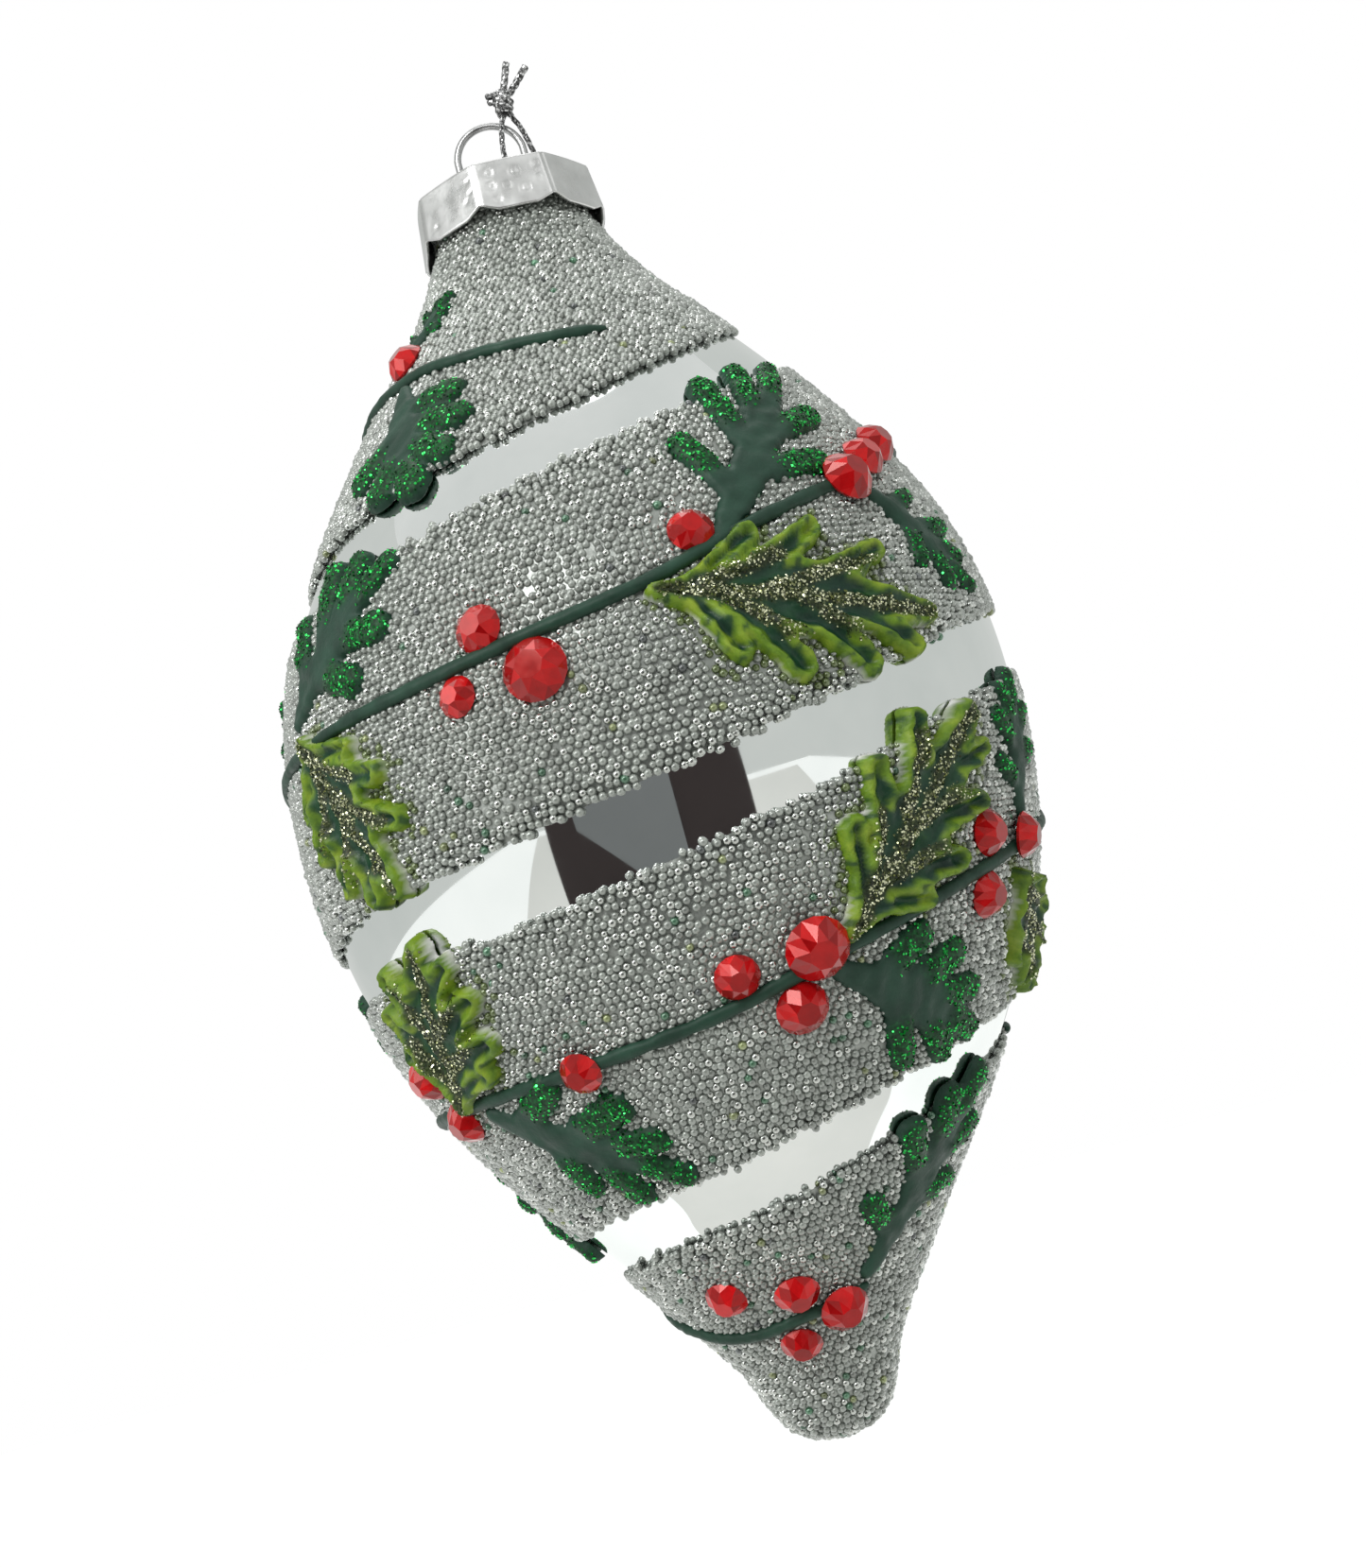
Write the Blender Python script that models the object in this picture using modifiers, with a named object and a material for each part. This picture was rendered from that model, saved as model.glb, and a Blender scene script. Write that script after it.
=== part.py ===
"""Icicle hanging ornament: a mirrored glass spindle with a spiral coat of glass beads,
a painted vine with moulded leaves, sprigs and rhinestone berries, a pressed cap and a wire ring.

Metres, +Z up. The ornament hangs along -Z, and the origin is the hanging point,
the underside of the ring's crown. Angles are in degrees round the axis, 0 at -Y and
growing towards +X, so that an angle grows to the right for someone who faces the front.
The vine and the bare stripe wind round the body more than once, and their angles go on past 360.
"""

import math

import bmesh
import bpy
from mathutils import Matrix, Vector

MM = 0.001
ROUND_STEPS = 36
BODY_RINGS = 26

# Glass: a straight open neck, then the body's outer face as height and radius, down to the tip.
NECK_TOP = -9.1 * MM
NECK_RADIUS = 7.9 * MM
GLASS_WALL = 0.9 * MM
TIP = -144.0 * MM
BODY_OUTLINE = [
    (-13.0 * MM, 8.0 * MM),
    (-17.9 * MM, 10.3 * MM),
    (-24.1 * MM, 13.9 * MM),
    (-32.0 * MM, 20.4 * MM),
    (-43.0 * MM, 27.9 * MM),
    (-57.8 * MM, 35.4 * MM),
    (-72.6 * MM, 37.6 * MM),
    (-86.4 * MM, 36.4 * MM),
    (-100.2 * MM, 32.2 * MM),
    (-112.2 * MM, 25.0 * MM),
    (-121.4 * MM, 18.4 * MM),
    (-127.0 * MM, 14.1 * MM),
    (-131.2 * MM, 11.0 * MM),
    (-135.1 * MM, 8.2 * MM),
    (-138.4 * MM, 6.7 * MM),
    (-140.9 * MM, 5.6 * MM),
    (-142.7 * MM, 4.2 * MM),
    (-143.7 * MM, 2.3 * MM),
]

# Bead coat, a thin skin that stands off the glass by a hair.
COAT_INNER = 0.3 * MM
COAT_THICKNESS = 0.5 * MM

# The bare stripe between turns of the coat: angle, height of its middle, half its width.
STRIPE = [
    (235, -19.0 * MM, 0.6 * MM),
    (200, -22.5 * MM, 2.0 * MM),
    (150, -27.0 * MM, 2.6 * MM),
    (90, -33.5 * MM, 2.8 * MM),
    (48, -38.6 * MM, 2.9 * MM),
    (0, -45.4 * MM, 2.8 * MM),
    (-30, -48.0 * MM, 3.1 * MM),
    (-70, -50.4 * MM, 3.2 * MM),
    (-140, -56.5 * MM, 3.2 * MM),
    (-220, -65.0 * MM, 3.2 * MM),
    (-298, -73.8 * MM, 3.2 * MM),
    (-336, -80.0 * MM, 3.3 * MM),
    (-360, -83.0 * MM, 3.2 * MM),
    (-385, -85.0 * MM, 3.2 * MM),
    (-420, -86.6 * MM, 3.2 * MM),
    (-500, -93.5 * MM, 3.0 * MM),
    (-580, -101.5 * MM, 2.8 * MM),
    (-664, -110.6 * MM, 2.5 * MM),
    (-697, -114.0 * MM, 2.6 * MM),
    (-720, -116.2 * MM, 2.6 * MM),
    (-750, -118.0 * MM, 2.4 * MM),
    (-800, -121.0 * MM, 2.2 * MM),
    (-860, -125.5 * MM, 1.7 * MM),
    (-910, -129.0 * MM, 0.6 * MM),
]
STRIPE_STEP = 10

# The painted vine in two lengths, each from its right end: angle and height of its middle.
VINES = {
    "vine_upper": [
        (17, -34.2 * MM),
        (0, -33.7 * MM),
        (-20, -32.7 * MM),
        (-40, -31.6 * MM),
        (-75, -32.0 * MM),
        (-130, -36.0 * MM),
        (-190, -41.5 * MM),
        (-250, -47.0 * MM),
        (-291, -51.0 * MM),
        (-312, -55.2 * MM),
        (-328, -57.9 * MM),
        (-343, -60.6 * MM),
        (-354, -62.8 * MM),
        (-370, -64.4 * MM),
        (-390, -65.5 * MM),
        (-410, -65.9 * MM),
        (-440, -67.2 * MM),
        (-500, -73.0 * MM),
        (-570, -82.0 * MM),
        (-630, -89.0 * MM),
        (-660, -92.4 * MM),
        (-692, -96.6 * MM),
        (-720, -100.2 * MM),
        (-745, -101.6 * MM),
        (-770, -102.3 * MM),
        (-810, -103.6 * MM),
        (-860, -106.0 * MM),
        (-930, -108.5 * MM),
        (-990, -109.5 * MM),
    ],
    "vine_lower": [
        (27, -128.6 * MM),
        (14, -129.5 * MM),
        (0, -129.8 * MM),
        (-25, -130.7 * MM),
        (-50, -130.4 * MM),
        (-90, -128.0 * MM),
        (-130, -126.0 * MM),
    ],
}
VINE_RADIUS = 0.55 * MM
VINE_STEP = 9
RELIEF_GAP = 0.3 * MM

# Moulded holly leaves: angle and height of the stalk end, direction of the midrib, length, width.
# The direction is in degrees, 0 towards growing angles and 90 upwards.
LEAVES = [
    (8.5, -65.6 * MM, -12, 27 * MM, 15 * MM),
    (-54, -68.6 * MM, -60, 17.5 * MM, 13 * MM),
    (24, -94.6 * MM, 47, 24 * MM, 13.5 * MM),
    (-52, -100.2 * MM, 66, 16 * MM, 13 * MM),
    (63, -95.6 * MM, -50, 13 * MM, 9 * MM),
    (165, -45.8 * MM, -25, 24 * MM, 12 * MM),
    (228, -75.6 * MM, -38, 21 * MM, 12 * MM),
    (130, -80.6 * MM, 40, 24 * MM, 13 * MM),
]
LEAF_THICKNESS = 1.3 * MM
LEAF_ROWS = 9

# Lobed sprigs, placed as the leaves are.
SPRIGS = [
    (18, -58.4 * MM, 52, 25 * MM, 13 * MM),
    (48, -59.0 * MM, -45, 14 * MM, 8 * MM),
    (-57, -62.8 * MM, 40, 18 * MM, 12 * MM),
    (-41, -34.0 * MM, -70, 16 * MM, 11 * MM),
    (21, -100.8 * MM, -29, 17.5 * MM, 12 * MM),
    (-49, -105.4 * MM, -44, 19 * MM, 12.5 * MM),
    (67, -88.4 * MM, 85, 13 * MM, 8 * MM),
    (29, -126.4 * MM, 61, 22 * MM, 9 * MM),
    (118, -49.4 * MM, -35, 16 * MM, 10 * MM),
    (218, -34.2 * MM, 50, 14 * MM, 9 * MM),
    (262, -66.0 * MM, 60, 15 * MM, 10 * MM),
    (172, -82.6 * MM, -40, 17 * MM, 11 * MM),
    (252, -101.0 * MM, 50, 17 * MM, 9 * MM),
    (250, -107.8 * MM, -50, 20 * MM, 10 * MM),
    (-52, -28.0 * MM, 60, 9 * MM, 4 * MM),
]
SPRIG_THICKNESS = 1.1 * MM
SPRIG_ROWS = 10

# Rhinestones: angle, height, diameter, and whether the stone sits on top of the vine.
BERRIES = [
    (-18.5, -62.0 * MM, 4.4 * MM, False),
    (-23.5, -68.2 * MM, 3.8 * MM, False),
    (-11.8, -68.4 * MM, 6.0 * MM, False),
    (14, -58.4 * MM, 4.0 * MM, False),
    (41.5, -56.2 * MM, 5.4 * MM, True),
    (50, -54.0 * MM, 4.6 * MM, True),
    (59, -51.8 * MM, 4.6 * MM, True),
    (3.2, -97.0 * MM, 4.2 * MM, False),
    (15.5, -97.2 * MM, 6.0 * MM, True),
    (11.5, -102.2 * MM, 4.8 * MM, False),
    (-25, -101.7 * MM, 4.1 * MM, True),
    (53, -90.2 * MM, 4.6 * MM, False),
    (60, -92.2 * MM, 4.6 * MM, True),
    (49.5, -97.4 * MM, 4.6 * MM, False),
    (-67, -99.4 * MM, 4.6 * MM, False),
    (-65, -106.6 * MM, 4.6 * MM, False),
    (-45.0, -31.6 * MM, 4.6 * MM, True),
    (-28.8, -126.3 * MM, 4.2 * MM, False),
    (-2.8, -126.4 * MM, 4.4 * MM, False),
    (15, -129.6 * MM, 5.0 * MM, True),
    (-8.5, -133.1 * MM, 4.0 * MM, False),
    (113, -43.0 * MM, 4.8 * MM, False),
    (158, -39.2 * MM, 4.6 * MM, False),
    (224, -68.6 * MM, 5.4 * MM, False),
    (180, -74.6 * MM, 4.6 * MM, False),
    (122, -87.0 * MM, 5.4 * MM, True),
    (226, -102.0 * MM, 4.8 * MM, False),
]
BERRY_HEIGHT_SHARE = 0.42
BERRY_SIDES = 10
VINE_SEAT = 1.5 * MM

# Crown cap of thin aluminium: eight facets, each a little longer in its middle than at its corners.
CAP_TOP = -8.3 * MM
CAP_CORNER_FOOT = -13.1 * MM
CAP_FACET_FOOT = -13.9 * MM
CAP_TOP_RADIUS = 10.2 * MM
CAP_FOOT_RADIUS = 10.75 * MM
CAP_SHEET = 0.35 * MM
CAP_CORNER_ANGLE = -13.0
FACETS = 8

# Hanging ring of sprung wire: an arch above the cap, two legs through its holes, feet in the neck.
WIRE = 0.8 * MM
ARCH_RADIUS = 3.7 * MM
ARCH_CENTRE = WIRE / 2 - ARCH_RADIUS
LEG_BEND = -12.0 * MM
LEG_FOOT = -24.0 * MM
FOOT_SPREAD = 6.0 * MM
HOLE = 1.4 * MM

# Cord loop in millimetres: from under the knot through the ring, over the back of the cap,
# down to the shoulder and up again to the knot.
CORD = 0.6 * MM
CORD_ROUTE = [
    (2.4, -1.05, 0.3),
    (1.9, -1.05, -1.2),
    (1.5, -1.05, -3.6),
    (1.5, -0.6, -5.6),
    (1.3, 1.0, -7.1),
    (0.8, 4.0, -7.6),
    (0.3, 8.2, -7.6),
    (-0.2, 10.7, -8.6),
    (-0.7, 11.4, -11.4),
    (-1.2, 11.6, -14.6),
    (-1.7, 12.8, -18.8),
    (-2.1, 15.9, -23.8),
    (-1.6, 19.4, -28.4),
    (0.7, 21.6, -31.6),
    (3.2, 20.4, -30.2),
    (4.8, 17.2, -26.2),
    (4.9, 13.8, -21.2),
    (4.6, 11.9, -16.6),
    (4.4, 11.2, -12.4),
    (4.3, 10.4, -8.9),
    (4.7, 8.0, -7.6),
    (5.1, 4.8, -7.4),
    (5.1, 2.0, -5.8),
    (4.7, 0.8, -3.4),
    (4.1, -0.1, -1.0),
    (3.4, -0.7, 0.4),
]
CORD_POINTS = 64
KNOT_CENTRE = Vector((2.9, -1.0, 2.2)) * MM
KNOT_SIZE = Vector((2.8, 2.2, 2.7)) * MM
TAILS = {
    "cord_tail_left": [(3.55, -1.0, 4.0), (4.0, -1.1, 5.2), (4.4, -1.0, 6.4)],
    "cord_tail_right": [(4.5, -0.9, 3.5), (5.4, -0.8, 4.5), (6.4, -0.9, 5.5)],
}


def clear_scene():
    for thing in list(bpy.data.objects):
        bpy.data.objects.remove(thing, do_unlink=True)


def new_collection(name):
    collection = bpy.data.collections.new(name)
    bpy.context.scene.collection.children.link(collection)
    return collection


def make_material(name, colour, roughness, metallic=0.0):
    material = bpy.data.materials.new(name)
    material.use_nodes = True
    shader = material.node_tree.nodes["Principled BSDF"]
    shader.inputs["Base Color"].default_value = (*colour, 1.0)
    shader.inputs["Roughness"].default_value = roughness
    shader.inputs["Metallic"].default_value = metallic
    return material


def add_object(name, data, collection, material=None):
    thing = bpy.data.objects.new(name, data)
    collection.objects.link(thing)
    if material is not None:
        data.materials.append(material)
    return thing


def mesh_from(name, points, faces):
    mesh = bpy.data.meshes.new(name)
    mesh.from_pydata([tuple(p) for p in points], [], faces)
    mesh.update()
    return mesh


def shade_smooth(mesh):
    for face in mesh.polygons:
        face.use_smooth = True


def catmull(points, share):
    """Point of a smooth curve through all the points, share running from 0 to 1."""
    spans = len(points) - 1
    place = min(max(share, 0.0), 1.0) * spans
    index = min(int(place), spans - 1)
    t = place - index
    near = [points[min(max(index + k, 0), spans)] for k in (-1, 0, 1, 2)]
    blend = (
        -0.5 * t + t * t - 0.5 * t ** 3,
        1 - 2.5 * t * t + 1.5 * t ** 3,
        0.5 * t + 2 * t * t - 1.5 * t ** 3,
        -0.5 * t * t + 0.5 * t ** 3,
    )
    return [sum(w * p[axis] for w, p in zip(blend, near)) for axis in range(len(points[0]))]


def by_angle(points, angle):
    """Values of a smooth line at an angle. The line's angles fall from its first point on."""
    spans = len(points) - 1
    for index in range(spans):
        start, end = points[index][0], points[index + 1][0]
        if angle >= end or index == spans - 1:
            share = min(max((start - angle) / (start - end), 0.0), 1.0)
            return catmull(points, (index + share) / spans)[1:]
    return points[-1][1:]


def outline_place(height):
    """How far along the body's outline a height is, from 0 at the neck to 1 at the tip."""
    outline = BODY_OUTLINE + [(TIP, 0.0)]
    spans = len(outline) - 1
    for index in range(spans):
        top, low = outline[index][0], outline[index + 1][0]
        if height >= low:
            return (index + min(max((top - height) / (top - low), 0.0), 1.0)) / spans
    return 1.0


def outline_point(share):
    """Height and outer radius of the glass, a share of the way from the neck to the tip."""
    return catmull(BODY_OUTLINE + [(TIP, 0.0)], share)


def body_radius(height):
    return max(outline_point(outline_place(height))[1], 0.0)


def surface(angle, height, lift):
    """Point above the glass: angle and height on the glass, lift along its outward normal."""
    step = 0.2 * MM
    radius = body_radius(height)
    slope = (body_radius(height + step) - body_radius(height - step)) / (2 * step)
    length = math.hypot(1.0, slope)
    out = radius + lift / length
    turn = math.radians(angle)
    return Vector((out * math.sin(turn), -out * math.cos(turn), height - lift * slope / length))


def walk(angle, height, along, across):
    """Angle and height after a walk on the glass: along to the right and across upwards."""
    middle = height
    for _ in range(2):
        slope = (body_radius(middle + MM) - body_radius(middle - MM)) / (2 * MM)
        new_height = height + across / math.hypot(1.0, slope)
        middle = (height + new_height) / 2
    return angle + math.degrees(along / body_radius(middle)), new_height


def body_profile(lift):
    """The turned outline of the body, lifted off the glass, as radius and height down to the tip."""
    points = []
    for k in range(BODY_RINGS):
        height = outline_point(k / BODY_RINGS)[0]
        point = surface(90, height, lift)
        points.append((point.x, point.z))
    points.append((0.0, TIP - lift))
    return points


def turned_object(name, profile, collection, material):
    """Revolve a profile, given from top to bottom, round the Z axis."""
    points = [(radius, 0.0, height) for radius, height in profile]
    mesh = bpy.data.meshes.new(name)
    mesh.from_pydata(points, [(k, k + 1) for k in range(len(points) - 1)], [])
    thing = add_object(name, mesh, collection, material)
    screw = thing.modifiers.new("turn", "SCREW")
    screw.axis = "Z"
    screw.steps = ROUND_STEPS
    screw.render_steps = ROUND_STEPS
    screw.use_smooth_shade = True
    screw.use_merge_vertices = True
    screw.merge_threshold = 0.00001
    return thing


def add_solidify(thing, thickness, offset):
    solidify = thing.modifiers.new("wall", "SOLIDIFY")
    solidify.thickness = thickness
    solidify.offset = offset
    solidify.use_even_offset = True


def make_glass_body(collection, material):
    profile = [(NECK_RADIUS, NECK_TOP)] + body_profile(0.0)
    body = turned_object("glass_body", profile, collection, material)
    add_solidify(body, GLASS_WALL, -1.0)


def make_stripe_cutter(cutters):
    """A ribbon along the bare stripe, thick enough to cut through the bead coat."""
    first, last = STRIPE[0][0], STRIPE[-1][0]
    count = int((first - last) / STRIPE_STEP)
    points = []
    faces = []
    for k in range(count + 1):
        angle = first - k * STRIPE_STEP
        height, half_width = by_angle(STRIPE, angle)
        for across in (-half_width, half_width):
            for lift in (-0.6 * MM, 2.2 * MM):
                points.append(surface(angle, height + across, lift))
        if k:
            low, new = 4 * (k - 1), 4 * k
            faces += [
                (low, low + 1, new + 1, new),
                (low + 1, low + 3, new + 3, new + 1),
                (low + 3, low + 2, new + 2, new + 3),
                (low + 2, low, new, new + 2),
            ]
    end = 4 * count
    faces += [(0, 2, 3, 1), (end, end + 1, end + 3, end + 2)]
    mesh = mesh_from("stripe_cutter", points, faces)
    solid = bmesh.new()
    solid.from_mesh(mesh)
    bmesh.ops.recalc_face_normals(solid, faces=solid.faces)
    solid.to_mesh(mesh)
    solid.free()
    return add_cutter(mesh, cutters)


def add_cutter(mesh, cutters):
    cutter = add_object(mesh.name, mesh, cutters)
    cutter.hide_render = True
    cutter.display_type = "WIRE"
    return cutter


def add_cut(thing, cutter):
    cut = thing.modifiers.new("cut", "BOOLEAN")
    cut.operation = "DIFFERENCE"
    cut.solver = "EXACT"
    cut.object = cutter


def make_bead_coat(collection, cutters, material):
    """The beaded skin: the body's outline moved outwards, with the bare stripe cut out of it."""
    coat = turned_object("bead_coat", body_profile(COAT_INNER), collection, material)
    add_solidify(coat, COAT_THICKNESS, 1.0)
    add_cut(coat, make_stripe_cutter(cutters))


def tube(name, points, radii, bevel, collection, material):
    """A round bar along the points, as thick at each point as its radius says."""
    curve = bpy.data.curves.new(name, "CURVE")
    curve.dimensions = "3D"
    curve.bevel_depth = bevel
    curve.bevel_resolution = 2
    curve.use_fill_caps = True
    spline = curve.splines.new("POLY")
    spline.points.add(len(points) - 1)
    for place, point, radius in zip(spline.points, points, radii):
        place.co = (*point, 1.0)
        place.radius = radius / bevel
    spline.use_smooth = True
    return add_object(name, curve, collection, material)


def make_vine(name, route, collection, material):
    """A painted line on the beads, thinner towards both of its ends."""
    lift = COAT_INNER + COAT_THICKNESS + RELIEF_GAP + VINE_RADIUS
    first, last = route[0][0], route[-1][0]
    count = int((first - last) / VINE_STEP)
    points = []
    radii = []
    for k in range(count + 1):
        angle = first + (last - first) * k / count
        points.append(surface(angle, by_angle(route, angle)[0], lift))
        radii.append(VINE_RADIUS * min(1.0, 0.5 + 0.25 * min(k, count - k)))
    tube(name, points, radii, VINE_RADIUS, collection, material)


def leaf_half_width(share):
    """Half-width of a holly leaf, as a share of its widest, with three scallops on each side."""
    envelope = math.sin(math.pi * (0.04 + 0.93 * share)) ** 0.6
    return envelope * (0.84 + 0.16 * math.cos(6 * math.pi * (share - 0.22)))


def sprig_half_width(share):
    """Half-width of a sprig: a thin stalk, then three pairs of rounded lobes and an end lobe."""
    stalk = 0.16 + 0.84 * min(1.0, max(0.0, share - 0.08) * 4)
    end = math.sqrt(max(0.0, 1 - max(0.0, share - 0.55) ** 2 / 0.2025))
    return stalk * end * (0.78 + 0.22 * math.cos(6 * math.pi * (share - 0.42)))


def make_blade(name, place, half_width, thickness, rows, collection, material):
    """A blade that follows the body: rows across its midrib, thickened outwards."""
    angle, height, direction, length, width = place
    lift = COAT_INNER + COAT_THICKNESS + RELIEF_GAP
    turn = math.radians(direction)
    columns = (-1.0, -0.5, 0.0, 0.5, 1.0)
    points = []
    for row in range(rows + 1):
        share = row / rows
        half = max(half_width(share), 0.1) * width / 2
        for column in columns:
            along = length * share * math.cos(turn) - half * column * math.sin(turn)
            across = length * share * math.sin(turn) + half * column * math.cos(turn)
            points.append(surface(*walk(angle, height, along, across), lift))
    faces = []
    for row in range(rows):
        for column in range(len(columns) - 1):
            low = row * len(columns) + column
            faces.append((low, low + len(columns), low + len(columns) + 1, low + 1))
    blade = add_object(name, mesh_from(name, points, faces), collection, material)
    shade_smooth(blade.data)
    outward = points[0].copy()
    outward.z = 0.0
    if blade.data.polygons[0].normal.dot(outward) < 0:
        blade.data.flip_normals()
    add_solidify(blade, thickness, 1.0)


def make_berry(name, place, collection, material):
    """A flat-backed cut stone: a straight girdle, a sloping crown and a flat table."""
    angle, height, diameter, on_vine = place
    tall = diameter * BERRY_HEIGHT_SHARE
    rings = ((0.0, 0.46), (0.15, 0.5), (0.35, 0.5), (0.8, 0.34), (1.0, 0.2))
    solid = bmesh.new()
    loops = []
    for up, wide in rings:
        loop = []
        for side in range(BERRY_SIDES):
            turn = 2 * math.pi * side / BERRY_SIDES
            x = diameter * wide * math.cos(turn)
            y = diameter * wide * math.sin(turn)
            loop.append(solid.verts.new((x, y, tall * up)))
        loops.append(loop)
    for low, high in zip(loops, loops[1:]):
        for side in range(BERRY_SIDES):
            after = (side + 1) % BERRY_SIDES
            solid.faces.new((low[side], low[after], high[after], high[side]))
    solid.faces.new(loops[0][::-1])
    solid.faces.new(loops[-1])
    mesh = bpy.data.meshes.new(name)
    solid.to_mesh(mesh)
    solid.free()
    berry = add_object(name, mesh, collection, material)
    back_gap = RELIEF_GAP + (diameter / 2) ** 2 / (2 * max(body_radius(height), 8 * MM))
    seat = COAT_INNER + COAT_THICKNESS + back_gap + (VINE_SEAT if on_vine else 0.0)
    foot = surface(angle, height, seat)
    outward = foot - surface(angle, height, 0.0)
    berry.location = foot
    berry.rotation_euler = outward.to_track_quat("Z", "Y").to_euler()


def make_cap(collection, cutters, material):
    """The crown cap: sixteen-sided skirt and flat top with two holes for the ring's legs."""
    points = []
    for share, foot in ((0.0, False), (1.0, True)):
        radius = CAP_TOP_RADIUS + (CAP_FOOT_RADIUS - CAP_TOP_RADIUS) * share
        for k in range(2 * FACETS):
            corner = k % 2 == 0
            turn = math.radians(CAP_CORNER_ANGLE + 180.0 * k / FACETS)
            out = radius if corner else radius * math.cos(math.pi / FACETS)
            foot_height = CAP_CORNER_FOOT if corner else CAP_FACET_FOOT
            height = foot_height if foot else CAP_TOP
            points.append((out * math.sin(turn), -out * math.cos(turn), height))
    sides = 2 * FACETS
    faces = [(k, (k + 1) % sides, sides + (k + 1) % sides, sides + k) for k in range(sides)]
    faces = [face[::-1] for face in faces] + [tuple(range(sides))]
    cap = add_object("cap_shell", mesh_from("cap_shell", points, faces), collection, material)
    add_solidify(cap, CAP_SHEET, -1.0)
    for name, side in (("hole_cutter_left", -1), ("hole_cutter_right", 1)):
        solid = bmesh.new()
        at = Matrix.Translation((side * ARCH_RADIUS, 0.0, CAP_TOP))
        bmesh.ops.create_cone(solid, cap_ends=True, segments=16, radius1=HOLE / 2,
                              radius2=HOLE / 2, depth=3 * MM, matrix=at)
        mesh = bpy.data.meshes.new(name)
        solid.to_mesh(mesh)
        solid.free()
        add_cut(cap, add_cutter(mesh, cutters))


def make_ring(collection, material):
    """Sprung wire: foot, leg, arch, leg and foot in one piece."""
    leg = [
        (FOOT_SPREAD - 0.5 * MM, LEG_FOOT),
        (FOOT_SPREAD, LEG_FOOT + 1.2 * MM),
        (FOOT_SPREAD, LEG_FOOT + 2.6 * MM),
        (ARCH_RADIUS + 0.7 * MM, LEG_BEND - 3 * MM),
        (ARCH_RADIUS, LEG_BEND),
    ]
    arch = []
    arch_steps = 16
    for k in range(arch_steps + 1):
        turn = math.pi * k / arch_steps
        arch.append((ARCH_RADIUS * math.cos(turn), ARCH_CENTRE + ARCH_RADIUS * math.sin(turn)))
    outline = leg + arch + [(-x, z) for x, z in reversed(leg)]
    points = [Vector((x, 0.0, z)) for x, z in outline]
    tube("hanging_ring", points, [WIRE / 2] * len(points), WIRE / 2, collection, material)


def make_cord(collection, material):
    """The cord's plain solids: its loop, the knot and the two cut tails."""
    route = [Vector(point) * MM for point in CORD_ROUTE]
    points = [Vector(catmull(route, k / (CORD_POINTS - 1))) for k in range(CORD_POINTS)]
    tube("cord_loop", points, [CORD / 2] * CORD_POINTS, CORD / 2, collection, material)
    for name, tail in TAILS.items():
        ends = [Vector(point) * MM for point in tail]
        tube(name, ends, [CORD / 2] * len(ends), CORD / 2, collection, material)
    solid = bmesh.new()
    bmesh.ops.create_uvsphere(solid, u_segments=12, v_segments=8, radius=0.5)
    bmesh.ops.scale(solid, vec=KNOT_SIZE, verts=solid.verts)
    mesh = bpy.data.meshes.new("cord_knot")
    solid.to_mesh(mesh)
    solid.free()
    shade_smooth(mesh)
    knot = add_object("cord_knot", mesh, collection, material)
    knot.location = KNOT_CENTRE


def build():
    clear_scene()
    parts = new_collection("icicle_ornament")
    cutters = new_collection("cutters")
    mirror = make_material("mirror_glass", (0.82, 0.84, 0.85), 0.04, 1.0)
    beads = make_material("glass_beads", (0.62, 0.66, 0.62), 0.3, 0.4)
    vine_green = make_material("vine_paint", (0.02, 0.08, 0.045), 0.55)
    sprig_green = make_material("sprig_paint", (0.02, 0.085, 0.045), 0.5)
    leaf_green = make_material("leaf_clay", (0.24, 0.36, 0.04), 0.45)
    ruby = make_material("rhinestone_red", (0.55, 0.01, 0.015), 0.08)
    aluminium = make_material("cap_aluminium", (0.72, 0.72, 0.72), 0.28, 1.0)
    steel = make_material("ring_wire", (0.6, 0.6, 0.6), 0.25, 1.0)
    silver = make_material("silver_cord", (0.6, 0.6, 0.62), 0.35, 0.9)
    make_glass_body(parts, mirror)
    make_bead_coat(parts, cutters, beads)
    for name, route in VINES.items():
        make_vine(name, route, parts, vine_green)
    for number, place in enumerate(LEAVES, 1):
        name = f"holly_leaf_{number:02d}"
        make_blade(name, place, leaf_half_width, LEAF_THICKNESS, LEAF_ROWS, parts, leaf_green)
    for number, place in enumerate(SPRIGS, 1):
        name = f"sprig_{number:02d}"
        make_blade(name, place, sprig_half_width, SPRIG_THICKNESS, SPRIG_ROWS, parts, sprig_green)
    for number, place in enumerate(BERRIES, 1):
        make_berry(f"rhinestone_{number:02d}", place, parts, ruby)
    make_cap(parts, cutters, aluminium)
    make_ring(parts, steel)
    make_cord(parts, silver)


build()
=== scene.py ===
"""Looks of the icicle hanging ornament: mirrored glass with spiral bands of glass beads,
a painted vine with moulded holly leaves, lobed sprigs and cut red stones, a pressed cap,
a wire ring and a silver cord. Metres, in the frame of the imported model.

Angles are in degrees round the axis, 0 at -Y and growing towards +X. Places on the glass are
an angle and a height, or an angle and a length along the glass from its neck downwards.
"""

import math

import bpy
import numpy as np
from mathutils import Matrix, Vector
from mathutils.bvhtree import BVHTree


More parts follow.
